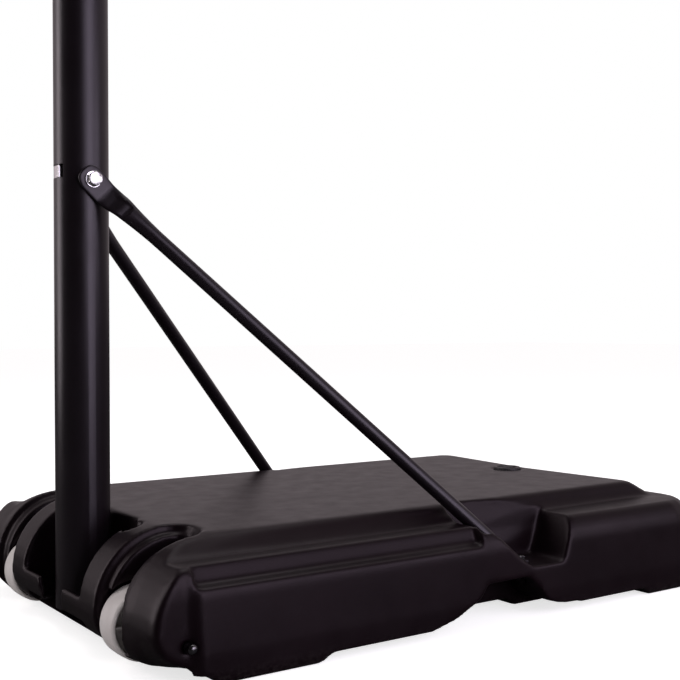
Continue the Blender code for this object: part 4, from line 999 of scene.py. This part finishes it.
# %% Turn the filler cap
cap_x = middle("filler_cap")[0]
seat = 0.152 - 0.003 + GAP  # the deck's height, less the hole's shallow step
flange = [(0.0, 0.0033), (0.0158, 0.0033), (0.0174, 0.0060), (0.0213, 0.0060), (0.0228, 0.0046),
          (0.0228, 0.0), (0.0162, 0.0), (0.0162, -0.0140), (0.0150, -0.0150), (0.0, -0.0150)]
grip = rounded(rectangle((-0.0165, -0.0026), (0.0165, 0.0026)), 0.0022, 5, loop=True)
piece("cap_with_grip", [
    turned(flange, (cap_x, 0.0, seat), (0, 0, 1), 96, 0.0009, flutes=(36, 0.0007, 0.0220)),
    plate(grip + (cap_x, 0.0), seat + 0.0020, seat + 0.0058, 0.0009, X_Y_Z),
], cap_plastic, "filler_cap", "filler_cap")

# %% [markdown]
# ## The height pin
#
# At the lower pole's top a plastic collar guides the upper pole, and below it sits the pin: a
# welded housing, a sprung steel pin and a fluted knob to pull. All are turned. The housing's foot
# is then cut round to sit on the pole. The spring stays inside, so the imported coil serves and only
# takes a new finish.

# %% Turn the collar, the pin and the caps
pole_top, upper_top = box("lower_pole")[1][2], box("upper_pole")[1][2]
collar = [(0.0375, 0.014), (0.0415, 0.010), (0.0425, -0.030), (0.0405, -0.034), (0.0353, -0.034),
          (0.0353, GAP), (0.03225, GAP), (0.03225, 0.012), (0.03425, 0.014)]
piece("guide_collar", [turned(collar, (POLE_X, 0.0, pole_top), (0, 0, 1), 96, 0.0014, loop=True)],
      cap_plastic, "stand", "pole_collar")

PIN_OUT, pin_place = (0, -1, 0), (POLE_X, 0.0, PIN_Z)
housing = [(0.0052, 0.062), (0.0100, 0.062), (0.0120, 0.060), (0.0120, 0.040), (0.0145, 0.036),
           (0.0145, 0.028), (0.0086, 0.028), (0.0086, 0.058), (0.0052, 0.058)]
pole_space = bar((POLE_X, 0.0, PIN_Z - 0.05), (POLE_X, 0.0, PIN_Z + 0.05), POLE_R + GAP, 96)
piece("pin_boss", [turned(housing, pin_place, PIN_OUT, 64, 0.0007, loop=True)], black_paint, "stand",
      "pin_housing", cutters=[pole_space])
nose = -box("height_pin")[1][1]
shank = [(0.0, 0.084), (0.0048, 0.084), (0.0048, 0.0445), (0.0080, 0.0445), (0.0080, 0.0420),
         (0.0048, 0.0420), (0.0048, nose + 0.0014), (0.0034, nose), (0.0, nose)]
piece("sprung_pin", [turned(shank, pin_place, PIN_OUT, 40, 0.0005)], bright_zinc, "pull_pin", "height_pin")
knob = [(0.0, 0.0960), (0.0090, 0.0945), (0.0150, 0.0900), (0.0170, 0.0830), (0.0140, 0.0770),
        (0.0085, 0.0735), (0.0080, 0.0640), (0.0051, 0.0640), (0.0051, 0.0843), (0.0, 0.0843)]
piece("fluted_knob", [turned(knob, pin_place, PIN_OUT, 96, 0.0030, 6, flutes=(12, 0.0012, 0.0120))],
      cap_plastic, "pull_pin", "pin_knob")
NODES["pin_spring"].data.materials.clear()
NODES["pin_spring"].data.materials.append(dark_zinc)

lid = [(0.0, 0.0120), (0.0200, 0.0105), (0.0300, 0.0060), (0.0325, 0.0), (0.0290, 0.0),
       (0.0290, -0.020), (0.0265, -0.020), (0.0265, 0.002), (0.0, 0.002)]
piece("end_lid", [turned(lid, (POLE_X, 0.0, upper_top + GAP), (0, 0, 1), 96, 0.0012)], cap_plastic,
      "upper_stand", "pole_cap")

# %% [markdown]
# ## Brackets
#
# Two bent brackets, each with a bolt bent round the pole, hold the board's steel frame. Bent
# plate has a round outer corner at every fold. A bend modifier would need a flat blank first, so
# the folded outline is drawn, rounded corner by corner, and pushed through the bracket's width.

# %% Bend the brackets and their bolts
SADDLE_X, SADDLE_T, REACH, RAIL_WEB = 0.077, 0.004, 0.0425, 0.0025


def bracket(z):
    """A folded plate, drawn as one half outline with a radius at each corner, and mirrored."""
    inner, flat, back = 0.03255, 0.085, SADDLE_X - SADDLE_T
    outer = inner + SADDLE_T
    half = [(SADDLE_X, flat, 0.0010), (back, flat, 0.0010), (back, outer, 0.0040),
            (-0.005, outer, 0.0015), (-0.005, inner, 0.0015), (back - 0.004, inner, 0.0030)]
    x, y, radii = np.array(half + [(x, -y, r) for x, y, r in reversed(half)]).T
    outline = rounded(np.stack((x + POLE_X, y), 1), radii, 5, loop=True)
    return plate(outline, z - 0.024, z + 0.024, 0.0008, X_Y_Z)


def u_bolt(z):
    """A bent bar round the pole's back, P = (r cos a, r sin a) between two straight threaded legs."""
    leg = box("u_bolt_lower")[1][0] - POLE_X
    smooth = leg - 0.022
    bend = circle((0.0, 0.0), REACH, 90.0, 270.0, 60)
    route = np.concatenate(([(smooth, REACH)], bend, [(smooth, -REACH)]))
    path = np.stack((route[:, 0] + POLE_X, route[:, 1], np.full(len(route), z)), 1)
    legs = [thread((POLE_X + smooth, side * REACH, z), (1, 0, 0), leg - smooth, M8) for side, _ in SIDES]
    return [tube(even(path, 0.0025), M8.radius, columns=24), *legs]


for level in ("lower", "upper"):
    z = middle(f"saddle_{level}")[2]
    piece(f"bracket_{level}", [bracket(z)], black_paint, "upper_stand", f"saddle_{level}")
    piece(f"bent_bolt_{level}", u_bolt(z), bright_zinc, "upper_stand", f"u_bolt_{level}")
    for side, name in SIDES:
        at = (POLE_X + SADDLE_X + 2 * GAP + RAIL_WEB, side * REACH, z)
        piece(f"bracket_nut_{level}_{name}", [nut(at, (1, 0, 0), M8)], bright_zinc, "upper_stand",
              f"u_bolt_nut_{level}_{name}")

# %% [markdown]
# ## The board's frame
#
# A closed steel border holds the sheet, two pressed channels cross it behind, and a pressed post
# takes the rim's bolts. A border made of four bars would leave four joints to hide. Here one
# section is carried round instead: each of its points lies at a fixed share of the way from the
# outer line to the inner one.

# %% Frame, rails and post
board_low, board_high = box("board_frame")
BAR = 0.026


def board_outline(inset, radius):
    """The board's outline, drawn in and with round corners."""
    return rounded(rectangle(board_low[1:] + inset, board_high[1:] - inset), radius, 9, loop=True)


def frame_bar():
    """A closed border: each section point lies at its share of the way from outer to inner line."""
    outer, inner = board_outline(0.0, 0.030), board_outline(BAR, 0.010)
    depth = board_high[0] - board_low[0]
    section = rounded(rectangle((0.0, 0.0), (BAR, depth)), 0.0035, 5, loop=True)
    share, level = section[:, 0] / BAR, section[:, 1] + board_low[0]
    flat = outer[:, None] + (inner - outer)[:, None] * share[None, :, None]
    points = np.concatenate((np.broadcast_to(level[None, :, None], (*flat.shape[:2], 1)), flat), 2)
    return skin(np.concatenate((points, points[:1])), capped=False)


def channel(level):
    """A pressed channel open towards the panel."""
    low, high = box(f"board_rail_{level}")
    rear, front, base, top = low[0], high[0], low[2], high[2]
    web = RAIL_WEB
    outline = [(rear, base), (front, base), (front, base + web), (rear + web, base + web),
               (rear + web, top - web), (front, top - web), (front, top), (rear, top)]
    radii = (0.0035, 0.0008, 0.0008, 0.0020, 0.0020, 0.0008, 0.0008, 0.0035)
    return plate(rounded(outline, radii, 5, loop=True), low[1], high[1], 0.0004, X_Z_Y)


def tray(node, wall):
    """A box open at its rear: rings from the inner floor out over the lip to the outer floor."""
    low, high = box(node)

    def ring(inset, radius, x):
        """One round of the box at x, drawn in by inset."""
        flat = rounded(rectangle(low[1:] + inset, high[1:] - inset), radius, 6, loop=True)
        return np.concatenate((np.full((len(flat), 1), x), flat), 1)

    front, rear, edge = high[0], low[0], 0.0012
    return skin(np.stack([
        ring(wall + edge, 0.003, front - wall), ring(wall, 0.003, front - wall - edge),
        ring(wall, 0.003, rear), ring(0.0, 0.005, rear), ring(0.0, 0.005, front - edge),
        ring(edge, 0.005, front)]))


def rim_bolt_holes(x, depth):
    """Four round holes for the rim's bolts, through whatever stands at x."""
    return [bar((x - depth, y, z), (x + depth, y, z), M8.radius + GAP) for y, z in bolt_places]


bolt_places = [middle(f"rim_bolt_{n}")[1:] for n in range(4)]
piece("border_frame", [frame_bar()], black_paint, "upper_stand", "board_frame")
for level in ("lower", "upper"):
    piece(f"channel_{level}", [channel(level)], black_paint, "upper_stand", f"board_rail_{level}")
piece("pressed_post", [tray("rim_post", 0.003)], black_paint, "upper_stand", "rim_post",
      cutters=rim_bolt_holes(box("rim_post")[1][0], 0.01))

# %% [markdown]
# ## The board
#
# The board is a clear sheet with a plain white border and a target square, the lines that every
# board of this kind has. Thin strips of white mesh would do, but the lines are print, so they
# are painted by the sheet's own Y and Z: a point is on a line where its distance to a rectangle
# lies between zero and the line's width.

# %% Clear sheet with printed lines
LINE, BORDER_INSET, RIM_Z = 0.045, 0.012, 2.286
SQUARE_HALF_Y, SQUARE_HALF_Z = 0.305, 0.2285
clear_panel = bpy.data.materials.new("clear_panel")
clear_panel.use_nodes = True
tree = clear_panel.node_tree
shader = tree.nodes["Principled BSDF"].inputs
feed(tree, 1.49, shader["IOR"])
place = tree.nodes.new("ShaderNodeTexCoord").outputs["Object"]
split = tree.nodes.new("ShaderNodeSeparateXYZ")
feed(tree, place, split.inputs[0])


def printed(half_y, half_z, centre_z):
    """1 on a rectangle's line: d = max(|y| - half_y, |z - centre_z| - half_z) from -LINE to 0."""
    y = maths(tree, "SUBTRACT", maths(tree, "ABSOLUTE", split.outputs["Y"]), half_y)
    z = maths(tree, "ABSOLUTE", maths(tree, "SUBTRACT", split.outputs["Z"], centre_z))
    distance = maths(tree, "MAXIMUM", y, maths(tree, "SUBTRACT", z, half_z))
    inside = maths(tree, "LESS_THAN", distance, 0.0)
    return maths(tree, "MULTIPLY", inside, maths(tree, "GREATER_THAN", distance, -LINE))


half_y, half_z = ((board_high - board_low)[1:] / 2 - BORDER_INSET).tolist()
border = printed(half_y, half_z, float(middle("board_frame")[2]))
square = printed(SQUARE_HALF_Y, SQUARE_HALF_Z, RIM_Z + SQUARE_HALF_Z)
print_mask = maths(tree, "MAXIMUM", border, square)
cloudy = remap(tree, noise(tree, place, 40.0), 0.0, 1.0)
sheet_colour = mix_colour(tree, cloudy, (0.90, 0.94, 0.95), (0.94, 0.97, 0.975))
feed(tree, mix_colour(tree, print_mask, sheet_colour, (0.84, 0.84, 0.83)), shader["Base Color"])
feed(tree, maths(tree, "SUBTRACT", 1.0, print_mask), shader["Transmission Weight"])
rough = maths(tree, "MULTIPLY_ADD", print_mask, 0.25, 0.05)
feed(tree, maths(tree, "ADD", rough, maths(tree, "MULTIPLY", cloudy, 0.03)), shader["Roughness"])

low, high = box("board_panel")
sheet = plate(rounded(rectangle(low[1:], high[1:]), 0.028, 9, loop=True), low[0], high[0], 0.0010, Y_Z_X)
piece("clear_sheet", [sheet], clear_panel, "upper_stand", "board_panel",
      cutters=rim_bolt_holes((low[0] + high[0]) / 2, 0.0125))

# %% [markdown]
# ## The rim
#
# The rim is a weldment: a round steel ring, a seat plate, a bridge plate, two bent braces and
# twelve wire hooks for the net. Each part is its own clean surface, and beads of weld cover the
# lines where the bridge meets the seat plate, as on the real one.

# %% Draw the rim's parts
ROD_R, HOOKS = 0.008, 12
RING_R = 0.2286 + ROD_R
rim_low, rim_high = box("rim")
ring_x, ring_z, face = rim_high[0] - RING_R - ROD_R, RIM_Z - ROD_R, rim_low[0]
WIRE_R, HOOK_R, HOOK_RISE = 0.0022, 0.0085, 0.002
hook_angles = (np.arange(HOOKS) + 0.5) * 2 * pi / HOOKS


def from_middle(angle):
    """The level direction out of the ring's middle at an angle, and the one along the ring there."""
    c, s = np.cos(angle), np.sin(angle)
    return np.array((c, s, 0.0)), np.array((-s, c, 0.0))


def hoop():
    """A torus: the circle (R + r cos b, r sin b) turned about the upright axis."""
    return turned(circle((RING_R, 0.0), ROD_R, 0.0, 345.0, 24), (ring_x, 0.0, ring_z), (0, 0, 1), 192,
                  loop=True)


def weld(start, end, radius, beats):
    """A bead along a line: r (1 + 0.18 sin(2 pi beats t)), t from 0 to 1, its ends drawn in."""
    t = np.linspace(0.0, 1.0, 8 * beats + 1)
    path = np.asarray(start, float) + (np.asarray(end, float) - start) * t[:, None]
    swell = 1 + 0.18 * np.sin(2 * pi * beats * t)
    return tube(path, radius * swell * np.sqrt(np.clip(4 * t * (1 - t) * 6, 0.05, 1.0)), (0, 0.3, 1.0), 10)


def hook(angle):
    """A wire loop below the ring, in the upright plane along it."""
    outward, along = from_middle(angle)
    arc = circle((0.0, -ROD_R + HOOK_RISE), HOOK_R, 190.0, 350.0, 18)
    flat = np.concatenate((arc[:1] + (0.0, 0.005), arc, arc[-1:] + (0.0, 0.005)))
    path = (ring_x, 0.0, ring_z) + RING_R * outward + flat[:, :1] * along + flat[:, 1:] * UP
    return tube(even(path, 0.0014), WIRE_R, outward, 10)


def rim_brace(side):
    """A bent rod from the seat plate's foot to the ring's underside."""
    outward, _ = from_middle(pi - side * 0.95)
    route = rounded([(face + 0.0046, side * 0.030, RIM_Z - 0.100),
                     (face + 0.030, side * 0.050, RIM_Z - 0.088),
                     (ring_x, 0.0, ring_z - 0.003) + RING_R * outward], 0.016, 8)
    return tube(even(route, 0.004), 0.006, columns=20)


print("hoop:", round(2 * (RING_R - ROD_R) * 1000), "mm across inside,", HOOKS, "hooks")

# %% [markdown]
# The seat plate lies against the board, and the bridge plate reaches from it to the ring, wider at
# the ring than at the board. Both are plates, so a list of corners with a radius each is all they
# need. Four bolts hold the seat plate through the sheet and the post.

# %% Weld the rim and bolt it on
seat_plate = rounded(rectangle((-0.066, RIM_Z - 0.110), (0.066, RIM_Z - 0.004)),
                     (0.014, 0.014, 0.002, 0.002), 7, loop=True)
near = ring_x - RING_R
half = [(face + 0.001, -0.060, 0.0), (near - 0.030, -0.060, 0.030), (near + 0.012, -0.086, 0.0)]
u, v, radii = np.array(half + [(u, -v, r) for u, v, r in reversed(half)]).T
bridge = rounded(np.stack((u, v), 1), radii, 7, loop=True)
parts = [hoop(), plate(seat_plate, face, face + 0.005, 0.0008, Y_Z_X),
         plate(bridge, RIM_Z - 0.0125, RIM_Z - 0.0075, 0.0006, X_Y_Z)]
parts += [weld((face + 0.0052, -0.058, z), (face + 0.0052, 0.058, z), 0.0022, 26)
          for z in (RIM_Z - 0.0070, RIM_Z - 0.0130)]
parts += [rim_brace(side) for side, _ in SIDES]
parts += [hook(angle) for angle in hook_angles]
piece("welded_rim", parts, orange_paint, "upper_stand", "rim")
for n, (y, z) in enumerate(bolt_places):
    low, high = box(f"rim_bolt_{n}")
    seat = high[0] - M8.head
    piece(f"rim_screw_{n}", screw((seat, y, z), (-1, 0, 0), seat - low[0], 0.010, M8), bright_zinc,
          "upper_stand", f"rim_bolt_{n}")

# %% [markdown]
# ## The net
#
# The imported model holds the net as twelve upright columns. The real one is 24 cords: from every
# hook one leans left and one leans right, and where two meet they are knotted. Both lean by 120
# degrees over the whole drop, so they meet on eight levels. Each cord is three twisted yarns, and
# that is a round section with three lobes that turns as it goes along. A loop above the first knot
# goes over the hook's wire.

# %% Draw a cord, a knot and a loop
CORD_R, LOOP_R, ROWS, LAY = 0.0023, 0.0019, 8, 0.013
wire_z = ring_z - ROD_R + HOOK_RISE - HOOK_R
net_top, net_foot = wire_z - 0.0135, box("net_0")[0][2] + 0.0045


def on_net(angle, s):
    """A point of the net's wall at an angle and a share s of the drop.

    Its radius is 0.229 - 0.1 s^0.8 - 0.012 sin(pi s) + 0.004 (1 - s)^8.
    """
    s = np.asarray(s, float)
    r = 0.2290 - 0.100 * s ** 0.8 - 0.012 * np.sin(pi * s) + 0.004 * (1 - s) ** 8
    return np.stack((ring_x + r * np.cos(angle), r * np.sin(angle),
                     net_top + (net_foot - net_top) * s), -1)


def cord(path, radius, columns=9):
    """A twisted cord: r = R (0.86 + 0.14 |cos(1.5 (a - 2 pi h / lay))|), h the length so far."""
    path = even(path, 0.0022)
    side, top = tube_frame(path, UP)
    a = around(columns)
    lobes = np.abs(np.cos(1.5 * (a - 2 * pi * length_so_far(path)[:, None] / LAY)))
    r = radius * (0.86 + 0.14 * lobes)
    return skin(path[:, None] + r[..., None] * spokes(a, side[:, None], top[:, None]))


def knot(place, lean):
    """Two turns of cord round a crossing: a ring whose circle is carried round a leaning axis."""
    b = around(6)
    profile = np.stack((0.0036 + 0.0021 * np.cos(b), 0.0030 * np.sin(b)), 1)
    return turned(profile, place, (lean, lean, 1.0), 10, loop=True)


def hang(angle):
    """The loop over a hook's wire, a half circle in the plane square to the wire."""
    outward, along = from_middle(angle)
    turn = circle((RING_R, wire_z), WIRE_R + LOOP_R + 0.0002, -25.0, 205.0, 16)
    foot_point = np.array([(0.2330, net_top)])
    flat = np.concatenate((foot_point, turn, foot_point))
    path = flat[:, :1] * outward + (ring_x, 0.0, 0.0) + flat[:, 1:] * UP
    return tube(even(path, 0.0016), LOOP_R, along, 8)


print("net:", round((net_top - net_foot) * 1000), "mm from the first knots to the last")

# %% [markdown]
# On each level the knots lie halfway between those of the level above, so every second level is
# turned by half the distance between two hooks. All cords, knots and loops are one piece, because
# a net is one thing.

# %% Knot the net
levels = np.arange(ROWS + 1) / ROWS
parts = []
for angle in hook_angles:
    for lean in (-1, 1):
        crossings = on_net(angle + lean * levels * 2 * pi / 3, levels)
        parts.append(cord(rounded(crossings, 0.006, 5), CORD_R))
    parts += [knot(on_net(angle + (k % 2) * pi / HOOKS, k / ROWS), 0.2) for k in range(ROWS + 1)]
    parts.append(hang(angle))
piece("knotted_net", parts, white_cord, "upper_stand", *(f"net_{n}" for n in range(HOOKS)), sharp=60.0)
